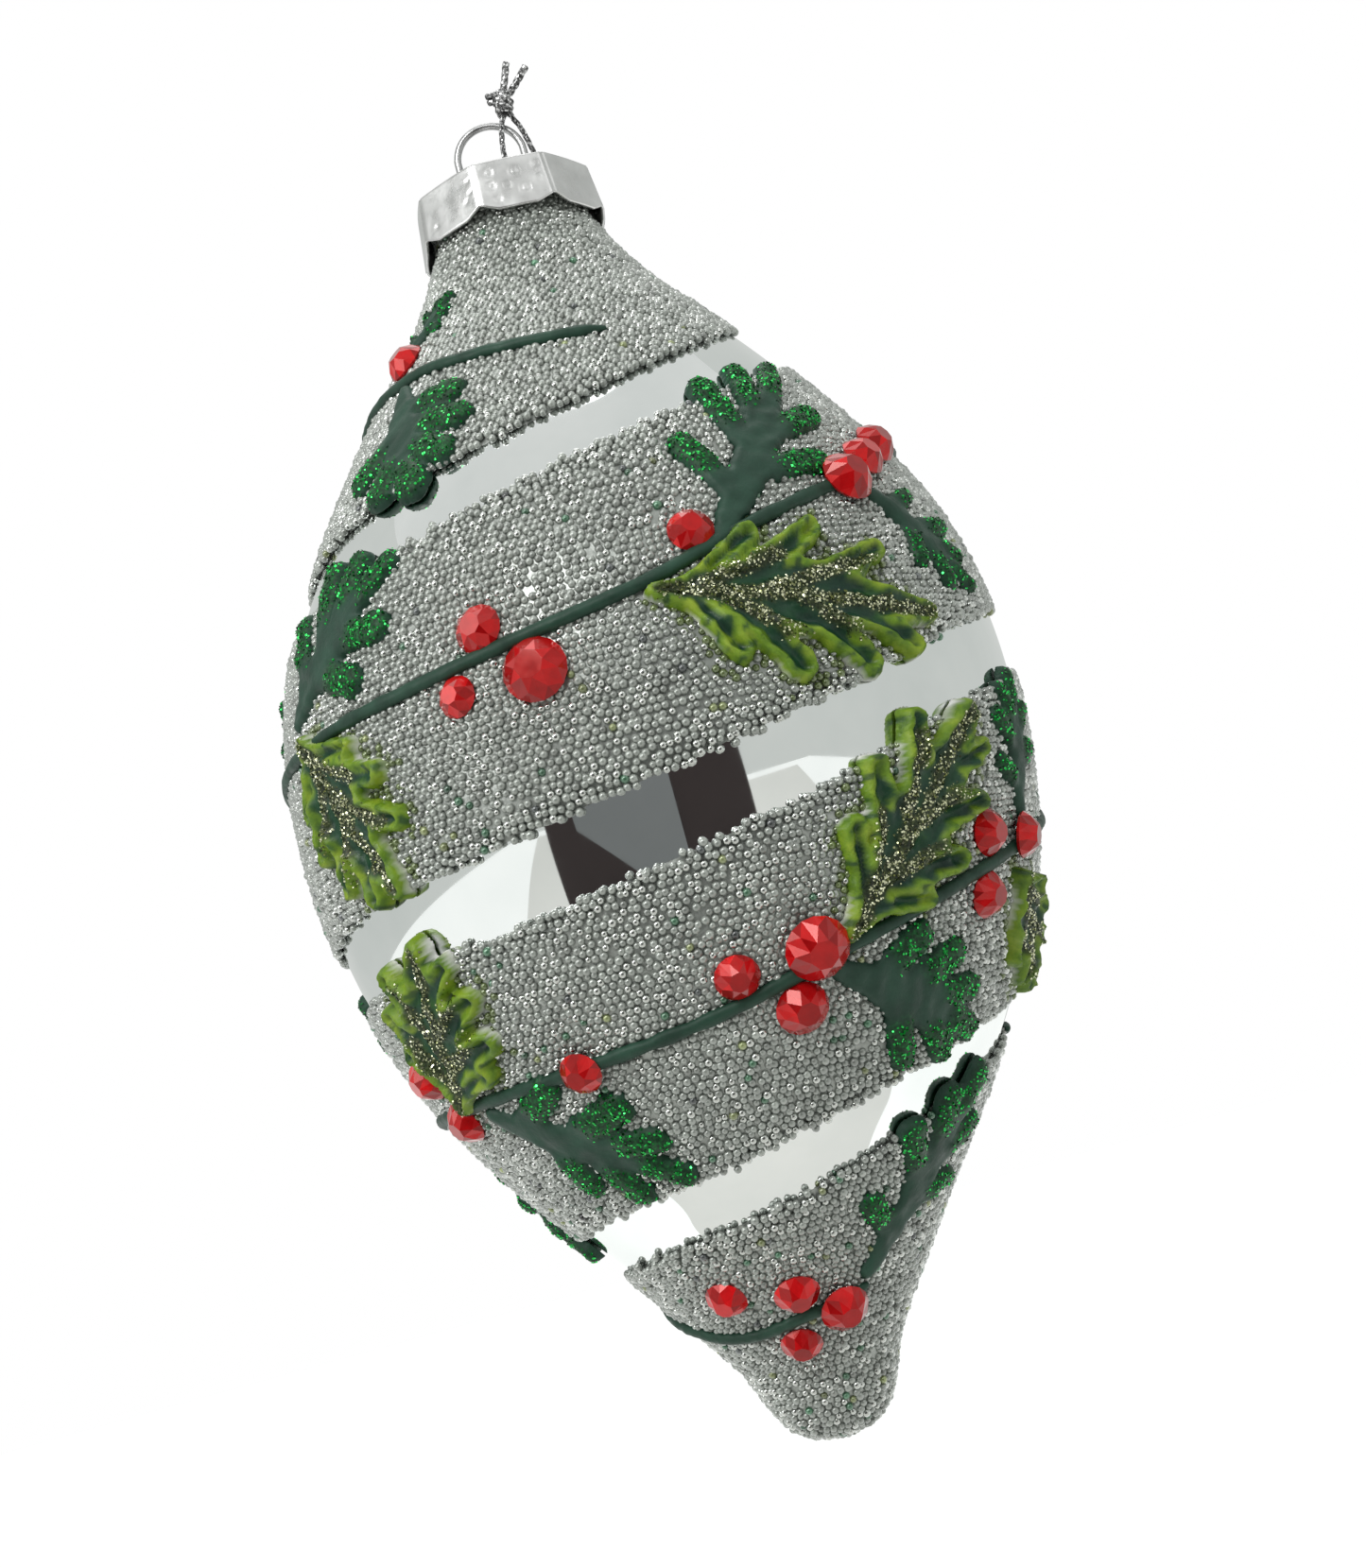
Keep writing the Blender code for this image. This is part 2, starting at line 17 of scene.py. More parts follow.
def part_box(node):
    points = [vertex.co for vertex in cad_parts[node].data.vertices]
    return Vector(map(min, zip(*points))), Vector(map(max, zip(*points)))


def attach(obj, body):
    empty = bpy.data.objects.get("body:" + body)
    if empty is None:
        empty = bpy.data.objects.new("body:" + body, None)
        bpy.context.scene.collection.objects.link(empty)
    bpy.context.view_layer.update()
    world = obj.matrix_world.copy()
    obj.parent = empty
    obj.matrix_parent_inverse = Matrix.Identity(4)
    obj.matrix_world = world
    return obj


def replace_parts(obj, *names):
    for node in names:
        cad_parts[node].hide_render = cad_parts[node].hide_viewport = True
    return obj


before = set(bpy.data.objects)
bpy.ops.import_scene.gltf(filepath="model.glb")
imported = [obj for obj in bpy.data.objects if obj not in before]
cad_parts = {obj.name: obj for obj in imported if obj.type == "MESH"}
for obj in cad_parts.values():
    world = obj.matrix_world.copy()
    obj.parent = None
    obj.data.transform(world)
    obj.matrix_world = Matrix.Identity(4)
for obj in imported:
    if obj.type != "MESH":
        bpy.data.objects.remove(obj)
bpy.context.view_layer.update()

MM = 0.001
TAU = 2 * math.pi

# The camera hangs a little below the ornament's middle and leans to its left.
CAMERA_DISTANCE = 0.2
CAMERA_TILT = math.radians(7.0)
CAMERA_ROLL = math.radians(15.567)
CAMERA_AIM = Vector((0.0, 0.0, -0.0776))
CAMERA_SIDE_STEP = 0.001424
CAMERA_UP_STEP = 0.001834
CAMERA_LENS = 43.4

# The cord's route and its parts, in millimetres, as in the part's own source.
CORD = 0.6 * MM
CORD_ROUTE = [
    (2.4, -1.05, 0.3), (1.9, -1.05, -1.2), (1.5, -1.05, -3.6), (1.5, -0.6, -5.6),
    (1.3, 1.0, -7.1), (0.8, 4.0, -7.6), (0.3, 8.2, -7.6), (-0.2, 10.7, -8.6),
    (-0.7, 11.4, -11.4), (-1.2, 11.6, -14.6), (-1.7, 12.8, -18.8), (-2.1, 15.9, -23.8),
    (-1.6, 19.4, -28.4), (0.7, 21.6, -31.6), (3.2, 20.4, -30.2), (4.8, 17.2, -26.2),
    (4.9, 13.8, -21.2), (4.6, 11.9, -16.6), (4.4, 11.2, -12.4), (4.3, 10.4, -8.9),
    (4.7, 8.0, -7.6), (5.1, 4.8, -7.4), (5.1, 2.0, -5.8), (4.7, 0.8, -3.4),
    (4.1, -0.1, -1.0), (3.4, -0.7, 0.4),
]
CORD_SIDES = 16
PLIES = 3
PLY_TURNS = 0.32  # turns of a ply in a millimetre
KNOT_CENTRE = Vector((2.9, -1.0, 2.2)) * MM
KNOT_CORD_RADIUS = 0.35 * MM
TAIL_RADIUS = 0.4 * MM
TAILS = {
    "cord_tail_left": [(3.0, -1.0, 2.6), (3.55, -1.0, 4.0), (4.0, -1.1, 5.2), (4.4, -1.0, 6.4)],
    "cord_tail_right": [(3.3, -0.9, 2.4), (4.5, -0.9, 3.5), (5.4, -0.8, 4.5), (6.4, -0.9, 5.5)],
}

# The bare stripe between turns of the beads: angle, height of its middle, half its width.
STRIPE = [
    (235, -19.0, 0.6), (200, -22.5, 2.0), (150, -27.0, 2.6), (90, -33.5, 2.8),
    (48, -38.6, 2.9), (0, -45.4, 2.8), (-30, -48.0, 3.1), (-70, -50.4, 3.2),
    (-140, -56.5, 3.2), (-220, -65.0, 3.2), (-298, -73.8, 3.2), (-336, -80.0, 3.3),
    (-360, -83.0, 3.2), (-385, -85.0, 3.2), (-420, -86.6, 3.2), (-500, -93.5, 3.0),
    (-580, -101.5, 2.8), (-664, -110.6, 2.5), (-697, -114.0, 2.6), (-720, -116.2, 2.6),
    (-750, -118.0, 2.4), (-800, -121.0, 2.2), (-860, -125.5, 1.7), (-910, -129.0, 0.6),
]

VINES = {
    "vine_upper": [
        (17, -34.2), (0, -33.7), (-20, -32.7), (-40, -31.6), (-75, -32.0),
        (-130, -36.0), (-190, -41.5), (-250, -47.0), (-291, -51.0), (-312, -55.2),
        (-328, -57.9), (-343, -60.6), (-354, -62.8), (-370, -64.4), (-390, -65.5),
        (-410, -65.9), (-440, -67.2), (-500, -73.0), (-570, -82.0), (-630, -89.0),
        (-660, -92.4), (-692, -96.6), (-720, -100.2), (-745, -101.6), (-770, -102.3),
        (-810, -103.6), (-860, -106.0), (-930, -108.5), (-990, -109.5),
    ],
    "vine_lower": [
        (27, -128.6), (14, -129.5), (0, -129.8), (-25, -130.7), (-50, -130.4),
        (-90, -128.0), (-130, -126.0),
    ],
}
VINE_WIDE = 0.66 * MM
VINE_TALL = 0.55 * MM
VINE_LIFT = 0.85 * MM

# Glass beads and the glue that holds them.
BEAD_PITCH = 0.76 * MM
BEAD_RADIUS = 0.41 * MM
BEAD_LIFT = 0.48 * MM
BEAD_EDGE_LIFT = 0.4 * MM
BEAD_GLINT_SHARE = 0.22
BEAD_ROW_GAP = 0.88 * BEAD_PITCH
BEAD_SHAKE = 0.11 * BEAD_PITCH
BEADS_LOST = 0.012
BEAD_UNDER_BLADE = 0.7 * MM
# Beads near a leaf take a darker olive tint: real paint stain, and painted shadow of the leaf.
STAIN_AND_SHADE_REACH = 1.6 * MM
STAIN_AND_SHADE_SHARE = 0.62
STAIN_AND_SHADE_TINT = (0.42, 0.52, 0.2)
BEADS_A_PIECE = 2200
GLUE_LIFT = 0.46 * MM
GLUE_RECESS = 0.45 * MM
GLUE_FOOT = 0.02 * MM
GLUE_SHOULDER = 0.3 * MM
GLUE_RAGGED = 0.12 * MM
COAT_TOP = -9.6 * MM
BLADE_FOOT = 0.34 * MM

# Holly leaves: angle and height of the stalk end, the midrib's direction, length, width in mm.
LEAVES = [
    (6.0, -64.2, -14, 27.5, 15.5), (-55.5, -65.6, -60, 19.6, 14.0),
    (21.0, -96.4, 45, 25.5, 14.0), (-53.0, -102.0, 69, 17.4, 13.5),
    (60.0, -95.2, -50, 14.0, 9.5), (165.0, -45.8, -25, 24.0, 12.5),
    (228.0, -75.6, -38, 21.0, 12.5), (130.0, -80.6, 40, 24.0, 13.5),
]

# Lobed sprigs: the same, and which side their longer fingers are on.
SPRIGS = [
    (17.0, -60.6, 50, 29.0, 15.0, 1), (46.0, -57.4, -45, 15.0, 8.5, 1),
    (-60.0, -63.0, 34, 20.5, 15.0, 1), (-42.0, -33.0, -72, 17.0, 13.5, -1),
    (18.5, -99.2, -31, 19.0, 13.0, -1), (-49.2, -103.6, -36, 20.0, 13.0, 1),
    (62.0, -89.4, 82, 14.0, 8.5, 1), (26.5, -127.4, 61, 23.5, 9.5, 1),
    (118.0, -49.4, -35, 16.0, 10.5, 1), (218.0, -34.2, 50, 14.0, 9.5, -1),
    (262.0, -66.0, 60, 15.0, 10.5, 1), (172.0, -82.6, -40, 17.0, 11.5, -1),
    (252.0, -101.0, 50, 17.0, 9.5, 1), (250.0, -107.8, -50, 20.0, 10.5, -1),
    (-52.0, -28.0, 60, 9.0, 5.0, 1),
]

# Cut stones: angle, height and diameter in mm, and whether the stone sits on the vine.
STONES = [
    (-18.5, -62.6, 4.6, False), (-23.5, -67.8, 3.9, False), (-11.8, -67.8, 6.0, False),
    (13.5, -59.2, 4.3, False), (42.0, -56.4, 5.4, True), (49.4, -54.0, 4.6, True),
    (57.8, -51.8, 4.6, True), (3.2, -97.6, 4.2, False), (15.5, -96.8, 6.0, True),
    (12.0, -101.6, 5.0, False), (-25.0, -101.7, 4.1, True), (50.4, -90.8, 4.6, False),
    (60.6, -91.5, 4.6, True), (49.8, -96.2, 4.6, False), (-61.5, -98.8, 4.6, False),
    (-59.4, -103.6, 4.6, False), (-50.0, -28.6, 4.6, False), (-28.8, -126.3, 4.2, False),
    (-2.8, -127.3, 4.6, False), (14.5, -129.7, 5.0, True), (-8.5, -132.6, 4.2, False),
    (113.0, -43.0, 4.8, False), (158.0, -39.2, 4.6, False), (224.0, -68.6, 5.4, False),
    (180.0, -74.6, 4.6, False), (122.0, -87.0, 5.4, True), (226.0, -102.0, 4.8, False),
]

# Crown cap and ring, as in the part's own source.
CAP_TOP = -8.3 * MM
CAP_CORNER_FOOT = -13.1 * MM
CAP_FACET_FOOT = -13.9 * MM
CAP_TOP_RADIUS = 10.2 * MM
CAP_FOOT_RADIUS = 10.75 * MM
CAP_SHEET = 0.35 * MM
CAP_CORNER_ANGLE = -13.0
FACETS = 8
FACET_BULGE = 0.16 * MM
CREASE_DEPTH = 0.22 * MM
WIRE = 0.8 * MM
WIRE_SIDES = 18
ARCH_RADIUS = 3.7 * MM
LEG_BEND = -12.0 * MM
LEG_FOOT = -24.0 * MM
FOOT_SPREAD = 6.0 * MM


# ---------------------------------------------------------------- camera

def make_camera():
    ct, st = math.cos(CAMERA_TILT), math.sin(CAMERA_TILT)
    cr, sr = math.cos(CAMERA_ROLL), math.sin(CAMERA_ROLL)
    right = Vector((cr, sr * st, -sr * ct))
    up = Vector((sr, -cr * st, cr * ct))
    back = Vector((0.0, -ct, -st))
    place = CAMERA_AIM + CAMERA_DISTANCE * back
    place = place + CAMERA_SIDE_STEP * right + CAMERA_UP_STEP * up
    data = bpy.data.cameras.new("camera")
    data.lens = CAMERA_LENS
    data.sensor_width = 36.0
    data.clip_start = 0.005
    camera = bpy.data.objects.new("camera", data)
    bpy.context.scene.collection.objects.link(camera)
    turn = Matrix((right, up, back)).transposed().to_4x4()
    camera.matrix_world = Matrix.Translation(place) @ turn
    bpy.context.scene.camera = camera


# ---------------------------------------------------------------- small tools

def smooth_line(points, steps):
    """A smooth curve through the points, with that many steps between each two."""
    p = np.array(points, float)
    padded = np.vstack([2 * p[0] - p[1], p, 2 * p[-1] - p[-2]])
    t = np.linspace(0.0, 1.0, steps, endpoint=False)[:, None]
    runs = []
    for k in range(len(p) - 1):
        a, b, c, d = padded[k:k + 4]
        runs.append(0.5 * (2 * b + (c - a) * t + (2 * a - 5 * b + 4 * c - d) * t ** 2
                           + (3 * b - a - 3 * c + d) * t ** 3))
    return np.vstack(runs + [p[-1:]])


def unit(vectors):
    return vectors / np.maximum(np.linalg.norm(vectors, axis=-1, keepdims=True), 1e-12)


def soft_step(low, high, value):
    t = np.clip((value - low) / (high - low), 0.0, 1.0)
    return t * t * (3 - 2 * t)


def lumps(u, v, size, seed):
    """Smooth bumps from -1 to 1 over two coordinates, about that size across."""
    draw = np.random.default_rng(seed)
    total = np.zeros(np.shape(u))
    for _ in range(6):
        turn, phase = draw.uniform(0, TAU, 2)
        stretch = draw.uniform(0.7, 1.4) * TAU / (2 * size)
        total = total + np.sin((u * math.cos(turn) + v * math.sin(turn)) * stretch + phase)
    return total / 3.2


def fill_mesh(mesh, points, corners, starts):
    """Points, the corners of all faces one after another, and where each face starts in them."""
    mesh.vertices.add(len(points))
    mesh.vertices.foreach_set("co", np.asarray(points, np.float32).ravel())
    mesh.loops.add(len(corners))
    mesh.loops.foreach_set("vertex_index", corners.astype(np.int32))
    mesh.polygons.add(len(starts))
    mesh.polygons.foreach_set("loop_start", starts.astype(np.int32))
    mesh.update(calc_edges=True)


def mesh_object(name, points, faces, body, material, smooth=True):
    """A new piece from points and faces, all faces of one size or a list of mixed ones."""
    mesh = bpy.data.meshes.new(name)
    if isinstance(faces, np.ndarray):
        fill_mesh(mesh, points, faces.ravel(), np.arange(0, faces.size, faces.shape[1]))
    else:
        mesh.from_pydata([tuple(p) for p in points], [], faces)
    mesh.validate()
    mesh.polygons.foreach_set("use_smooth", [smooth] * len(mesh.polygons))
    mesh.update()
    return place_piece(name, mesh, body, material)


def place_piece(name, data, body, material):
    thing = bpy.data.objects.new(name, data)
    bpy.context.scene.collection.objects.link(thing)
    data.materials.append(material)
    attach(thing, body)
    return thing


def add_values(thing, name, values):
    """A number for each point, which the material reads by its name."""
    layer = thing.data.attributes.new(name, "FLOAT", "POINT")
    layer.data.foreach_set("value", np.asarray(values, np.float32))


def add_colours(thing, name, colours):
    """A colour for each point, which the material reads by its name."""
    layer = thing.data.attributes.new(name, "FLOAT_COLOR", "POINT")
    rgba = np.ones((len(colours), 4), np.float32)
    rgba[:, :3] = colours
    layer.data.foreach_set("color", rgba.ravel())


def grid_faces(rows, columns, closed=False):
    """Quads of a grid of points stored row by row; closed joins each row's end to its start."""
    k = np.arange(rows - 1)[:, None] * columns
    last = columns if closed else columns - 1
    c = np.arange(last)[None, :]
    after = (c + 1) % columns
    quads = np.stack([k + c, k + after, k + columns + after, k + columns + c], -1)
    return quads.reshape(-1, 4)


def face_list(quads):
    """The same faces as a list, for a mesh whose faces have mixed numbers of corners."""
    return [tuple(face) for face in quads.tolist()]


def closed_tube(rows, sides):
    """Faces of a tube with an end face at each end, its points stored ring by ring."""
    count = rows * sides
    faces = face_list(grid_faces(rows, sides, closed=True))
    return faces + [tuple(range(sides))[::-1], tuple(range(count - sides, count))]


def frames_along(path):
    """Two cross directions at each point of a path, which never twist along it."""
    tangents = unit(np.gradient(path, axis=0))
    across = np.zeros_like(path)
    side = np.array([1.0, 0.3, 0.2])
    for k, t in enumerate(tangents):
        side = side - t * np.dot(side, t)
        side = side / np.linalg.norm(side)
        across[k] = side
    return across, np.cross(tangents, across)


def tube_mesh(name, path, radius, sides, body, material):
    """A tube along the path; its radius is one number, or one for each point and side."""
    across, over = frames_along(path)
    turn = np.arange(sides) * TAU / sides
    radius = np.broadcast_to(radius, (len(path), sides))
    points = (path[:, None, :]
              + radius[..., None] * (np.cos(turn)[None, :, None] * across[:, None, :]
                                     + np.sin(turn)[None, :, None] * over[:, None, :]))
    faces = closed_tube(len(path), sides)
    return mesh_object(name, points.reshape(-1, 3), faces, body, material)


# ---------------------------------------------------------------- the glass's own surface

def read_outline():
    """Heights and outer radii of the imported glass, from its ring of points on the -Y side."""
    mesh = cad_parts["glass_body"].data
    points = [v.co.copy() for v in mesh.vertices]
    tree = BVHTree.FromPolygons(points, [tuple(p.vertices) for p in mesh.polygons])
    found = []
    for p in points:
        if abs(p.x) < 1e-6 and p.y < -1e-4:
            hit = tree.ray_cast(Vector((0.0, -1.0, p.z)), Vector((0.0, 1.0, 0.0)))[0]
            if hit is not None and abs(hit.y - p.y) < 1e-5:
                found.append((round(p.z, 7), round(-p.y, 7)))
    found = sorted(set(found), reverse=True)
    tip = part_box("glass_body")[0].z
    return found + [(tip, 0.0)]


RINGS = read_outline()
LINE = smooth_line(RINGS, 24)
LINE[:, 1] = np.maximum(LINE[:, 1], 0.0)
HEIGHTS, RADII = LINE[:, 0], LINE[:, 1]
LENGTHS = np.concatenate([[0.0], np.cumsum(np.hypot(np.diff(HEIGHTS), np.diff(RADII)))])
OUT_R = -np.gradient(HEIGHTS, LENGTHS)
OUT_Z = np.gradient(RADII, LENGTHS)


def length_at(height):
    return np.interp(-np.asarray(height, float), -HEIGHTS, LENGTHS)


def height_at(length):
    return np.interp(length, LENGTHS, HEIGHTS)


def radius_at(length):
    return np.interp(length, LENGTHS, RADII)


def on_glass(angle, length, lift):
    """Points above the glass: angle, length along it from the neck, and lift off it."""
    turn = np.radians(angle)
    nr = np.interp(length, LENGTHS, OUT_R)
    nz = np.interp(length, LENGTHS, OUT_Z)
    r = radius_at(length) + lift * nr
    z = height_at(length) + lift * nz
    return np.stack(np.broadcast_arrays(r * np.sin(turn), -r * np.cos(turn), z), -1)


def axes_at(angle, length):
    """Unit directions on the glass: to the right, upwards along it, and outwards."""
    turn = np.radians(angle)
    nr = np.interp(length, LENGTHS, OUT_R)
    nz = np.interp(length, LENGTHS, OUT_Z)
    zero = np.zeros_like(turn + nr)
    right = np.stack([np.cos(turn) + zero, np.sin(turn) + zero, zero], -1)
    out = unit(np.stack([nr * np.sin(turn), -nr * np.cos(turn), nz + zero], -1))
    return right, np.cross(out, right), out


def line_values(points, step=1.0):
    """Angles from high to low and the smooth values of a listed line at them."""
    curve = smooth_line([(float(a), *rest) for a, *rest in points], 20)
    angles = np.arange(curve[0, 0], curve[-1, 0], -step)
    order = np.argsort(curve[:, 0])
    values = [np.interp(angles, curve[order, 0], curve[order, k]) for k in range(1, curve.shape[1])]
    return angles, values


STRIPE_ANGLES, (STRIPE_MIDDLE, STRIPE_HALF) = line_values(STRIPE)


def stripe_edges(angle):
    """Lengths of the stripe's upper and lower edges at an angle that counts past a full turn."""
    order = slice(None, None, -1)
    middle = np.interp(angle, STRIPE_ANGLES[order], STRIPE_MIDDLE[order]) * MM
    half = np.interp(angle, STRIPE_ANGLES[order], STRIPE_HALF[order]) * MM
    return length_at(middle + half), length_at(middle - half)


def stripe_clearance(angle, length):
    """How far a point on the glass is outside the bare stripe, below zero inside it."""
    first, last = STRIPE_ANGLES[0], STRIPE_ANGLES[-1]
    clear = np.full(np.shape(angle), 1.0)
    for turn in range(-4, 2):
        wound = angle + 360.0 * turn
        inside = (wound <= first) & (wound >= last)
        upper, lower = stripe_edges(np.clip(wound, last, first))
        gap = np.maximum(upper - length, length - lower)
        clear = np.where(inside, np.minimum(clear, gap), clear)
    return clear


# ---------------------------------------------------------------- materials

# Sockets of Blender's Mix node when it mixes colours: the share and the two colours, the result.
MIX_INPUTS = (0, 6, 7)
MIX_COLOUR_OUTPUT = 2


class Finish:
    """A material being made: its Principled shader and short ways to add nodes to it."""

    def __init__(self, name, colour, roughness, metallic=0.0, **sockets):
        self.material = bpy.data.materials.new(name)
        self.material.use_nodes = True
        self.tree = self.material.node_tree
        self.shader = self.tree.nodes["Principled BSDF"]
        self.set("Base Color", (*colour, 1.0))
        self.set("Roughness", roughness)
        self.set("Metallic", metallic)
        for socket, value in sockets.items():
            self.set(socket.replace("_", " "), value)

    def set(self, socket, value):
        self.shader.inputs[socket].default_value = value

    def link(self, value, socket):
        self.tree.links.new(value, self.shader.inputs[socket])

    def feed(self, socket, value):
        """A link from another node's output, or a plain value."""
        if isinstance(value, bpy.types.NodeSocket):
            self.tree.links.new(value, socket)
        else:
            socket.default_value = value

    def node(self, kind, **inputs):
        node = self.tree.nodes.new(kind)
        for name, value in inputs.items():
            self.feed(node.inputs[name.replace("_", " ")], value)
        return node

    def place(self):
        return self.node("ShaderNodeTexCoord").outputs["Object"]

    def noise(self, scale, detail=3.0, roughness=0.55):
        return self.node("ShaderNodeTexNoise", Vector=self.place(), Scale=scale, Detail=detail,
                         Roughness=roughness).outputs["Fac"]

    def cells(self, scale):
        return self.node("ShaderNodeTexVoronoi", Vector=self.place(), Scale=scale).outputs

    def ramp(self, value, stops):
        node = self.node("ShaderNodeValToRGB", Fac=value)
        ramp = node.color_ramp
        while len(ramp.elements) < len(stops):
            ramp.elements.new(0.5)
        for element, (place, colour) in zip(ramp.elements, stops):
            element.position = place
            element.color = (*colour, 1.0)
        return node.outputs["Color"]

    def scale(self, value, low, high, start=0.0, end=1.0):
        return self.node("ShaderNodeMapRange", Value=value, From_Min=start, From_Max=end,
                         To_Min=low, To_Max=high).outputs["Result"]

    def attribute(self, name):
        node = self.tree.nodes.new("ShaderNodeAttribute")
        node.attribute_name = name
        return node.outputs

    def value(self, name):
        return self.attribute(name)["Fac"]

    def colour(self, name):
        return self.attribute(name)["Color"]

    def mix(self, share, first, second, how="MIX"):
        node = self.tree.nodes.new("ShaderNodeMix")
        node.data_type = "RGBA"
        node.blend_type = how
        for number, value in zip(MIX_INPUTS, (share, first, second)):
            self.feed(node.inputs[number], (*value, 1.0) if isinstance(value, tuple) else value)
        return node.outputs[MIX_COLOUR_OUTPUT]

    def mottle(self, scale, detail, *stops):
        """The base colour from a noise, through a ramp of places and colours."""
        self.link(self.ramp(self.noise(scale, detail), stops), "Base Color")

    def wear(self, scale, detail, low, high, start=0.3, end=0.7):
        """The roughness from a noise, from low to high."""
        self.link(self.scale(self.noise(scale, detail), low, high, start, end), "Roughness")

    def bump(self, value, depth, strength=1.0):
        node = self.node("ShaderNodeBump", Height=value, Strength=strength, Distance=depth)
        self.link(node.outputs["Normal"], "Normal")


def grey(level):
    return (level, level, level)


def mirror_finish():
    """Silvered glass: bright, with faint smears and a very slight waviness from blowing."""
    f = Finish("mirror_glass", (0.82, 0.84, 0.83), 0.03, 1.0)
    f.mottle(90.0, 4.0, (0.3, (0.77, 0.8, 0.79)), (0.7, (0.86, 0.88, 0.87)))
    f.wear(240.0, 5.0, 0.015, 0.06, 0.35, 0.75)
    f.bump(f.noise(35.0, 1.0), 0.00006, 0.35)
    return f.material


def bead_finish():
    """Clear glass beads over the mirror: grey-green, and some throw a bright glint back."""
    f = Finish("glass_beads", (0.45, 0.47, 0.44), 0.14, 0.4, IOR=1.5)
    cloud = f.ramp(f.noise(160.0, 3.0), [(0.3, grey(0.82)), (0.7, grey(1.0))])
    plain = f.mix(1.0, f.colour("tint_and_light"), cloud, "MULTIPLY")
    glint = f.value("glint")
    f.link(f.mix(glint, plain, (0.52, 0.54, 0.51)), "Base Color")
    f.link(f.scale(glint, 0.3, 0.95), "Metallic")
    f.wear(900.0, 2.0, 0.1, 0.24)
    f.set("Coat Weight", 1.0)
    f.set("Coat Roughness", 0.06)
    f.set("Coat IOR", 1.6)
    return f.material


def glue_finish():
    """What shows between the beads: clear glue over the silvering, its colour darkened with painted
    shade.
    """
    f = Finish("bead_glue", (0.42, 0.45, 0.43), 0.3, 0.5)
    # Dark greys: painted shade between the beads.
    f.mottle(700.0, 3.0, (0.3, (0.25, 0.265, 0.245)), (0.7, (0.38, 0.4, 0.375)))
    f.bump(f.noise(1500.0, 2.0), 0.0001, 0.6)
    return f.material


def vine_finish():
    f = Finish("vine_paint", (0.012, 0.042, 0.026), 0.5, IOR=1.46)
    f.mottle(420.0, 4.0, (0.3, (0.008, 0.03, 0.018)), (0.7, (0.018, 0.058, 0.036)))
    f.set("Specular IOR Level", 0.3)
    f.wear(800.0, 3.0, 0.4, 0.62)
    f.bump(f.noise(1100.0, 4.0), 0.00012, 0.6)
    return f.material


def sprig_finish():
    """Dark green paint, a deeper and greener glaze under the glitter at its finger tips."""
    f = Finish("sprig_paint", (0.012, 0.043, 0.026), 0.42, IOR=1.46)
    paint = f.ramp(f.noise(330.0, 4.0), [(0.3, (0.008, 0.031, 0.019)), (0.7, (0.019, 0.06, 0.038))])
    glaze = f.ramp(f.noise(2600.0, 2.0), [(0.4, (0.0, 0.02, 0.005)), (0.62, (0.002, 0.07, 0.014)),
                                          (0.8, (0.012, 0.2, 0.04))])
    f.link(f.mix(f.value("glitter"), paint, glaze), "Base Color")
    f.set("Specular IOR Level", 0.3)
    f.wear(700.0, 3.0, 0.4, 0.6)
    f.bump(f.noise(900.0, 4.0), 0.00018, 0.6)
    return f.material


def leaf_finish():
    """Moulded clay leaf: yellow-green rim, dark green hollows, olive ribs, white cut edge."""
    f = Finish("leaf_clay", (0.2, 0.33, 0.03), 0.42, IOR=1.47)
    rim = f.ramp(f.noise(520.0, 4.0), [(0.26, (0.04, 0.1, 0.008)), (0.46, (0.13, 0.23, 0.013)),
                                       (0.72, (0.24, 0.33, 0.025))])
    hollow = f.ramp(f.noise(380.0, 4.0), [(0.3, (0.004, 0.024, 0.016)),
                                          (0.58, (0.009, 0.048, 0.02)), (0.8, (0.032, 0.1, 0.014))])
    rib = f.ramp(f.noise(2400.0, 2.0), [(0.35, (0.006, 0.012, 0.004)), (0.58, (0.03, 0.045, 0.012)),
                                        (0.8, (0.16, 0.17, 0.08))])
    clay = f.ramp(f.noise(600.0, 3.0), [(0.3, (0.52, 0.52, 0.48)), (0.7, (0.74, 0.74, 0.72))])
    colour = f.mix(f.value("rim"), hollow, rim)
    colour = f.mix(f.value("rib"), colour, rib)
    colour = f.mix(f.value("clay"), colour, clay)
    f.link(colour, "Base Color")
    f.set("Specular IOR Level", 0.3)
    f.wear(600.0, 3.0, 0.3, 0.55)
    f.bump(f.noise(800.0, 4.0), 0.00022, 0.7)
    return f.material


def glitter_finish(name, low, high):
    f = Finish(name, low, 0.22, 1.0)
    f.link(f.ramp(f.cells(2500.0)["Color"], [(0.2, low), (0.8, high)]), "Base Color")
    return f.material


def stone_finish():
    """Foil-backed red stone: each facet has its own brightness of red, painted reflections of the
    foil inside, under a clear gloss.
    """
    f = Finish("rhinestone_red", (0.5, 0.008, 0.01), 0.12, 0.0, IOR=1.5)
    facet = f.colour("tint_and_light")
    depth = f.ramp(f.noise(700.0, 2.0), [(0.3, grey(0.72)), (0.7, grey(1.0))])
    f.link(f.mix(1.0, facet, depth, "MULTIPLY"), "Base Color")
    f.wear(1200.0, 2.0, 0.06, 0.16)
    f.set("Specular Tint", (1.0, 0.25, 0.22, 1.0))
    f.set("Coat Weight", 0.35)
    f.set("Coat Roughness", 0.04)
    return f.material


def cap_finish():
    """Thin pressed aluminium with fine rolling lines and a few handling marks."""
    f = Finish("cap_aluminium", grey(0.6), 0.3, 1.0)
    f.mottle(260.0, 4.0, (0.3, (0.52, 0.52, 0.515)), (0.7, (0.7, 0.7, 0.695)))
    f.wear(500.0, 4.0, 0.22, 0.42)
    f.bump(f.noise(1400.0, 3.0), 0.00004, 0.5)
    return f.material


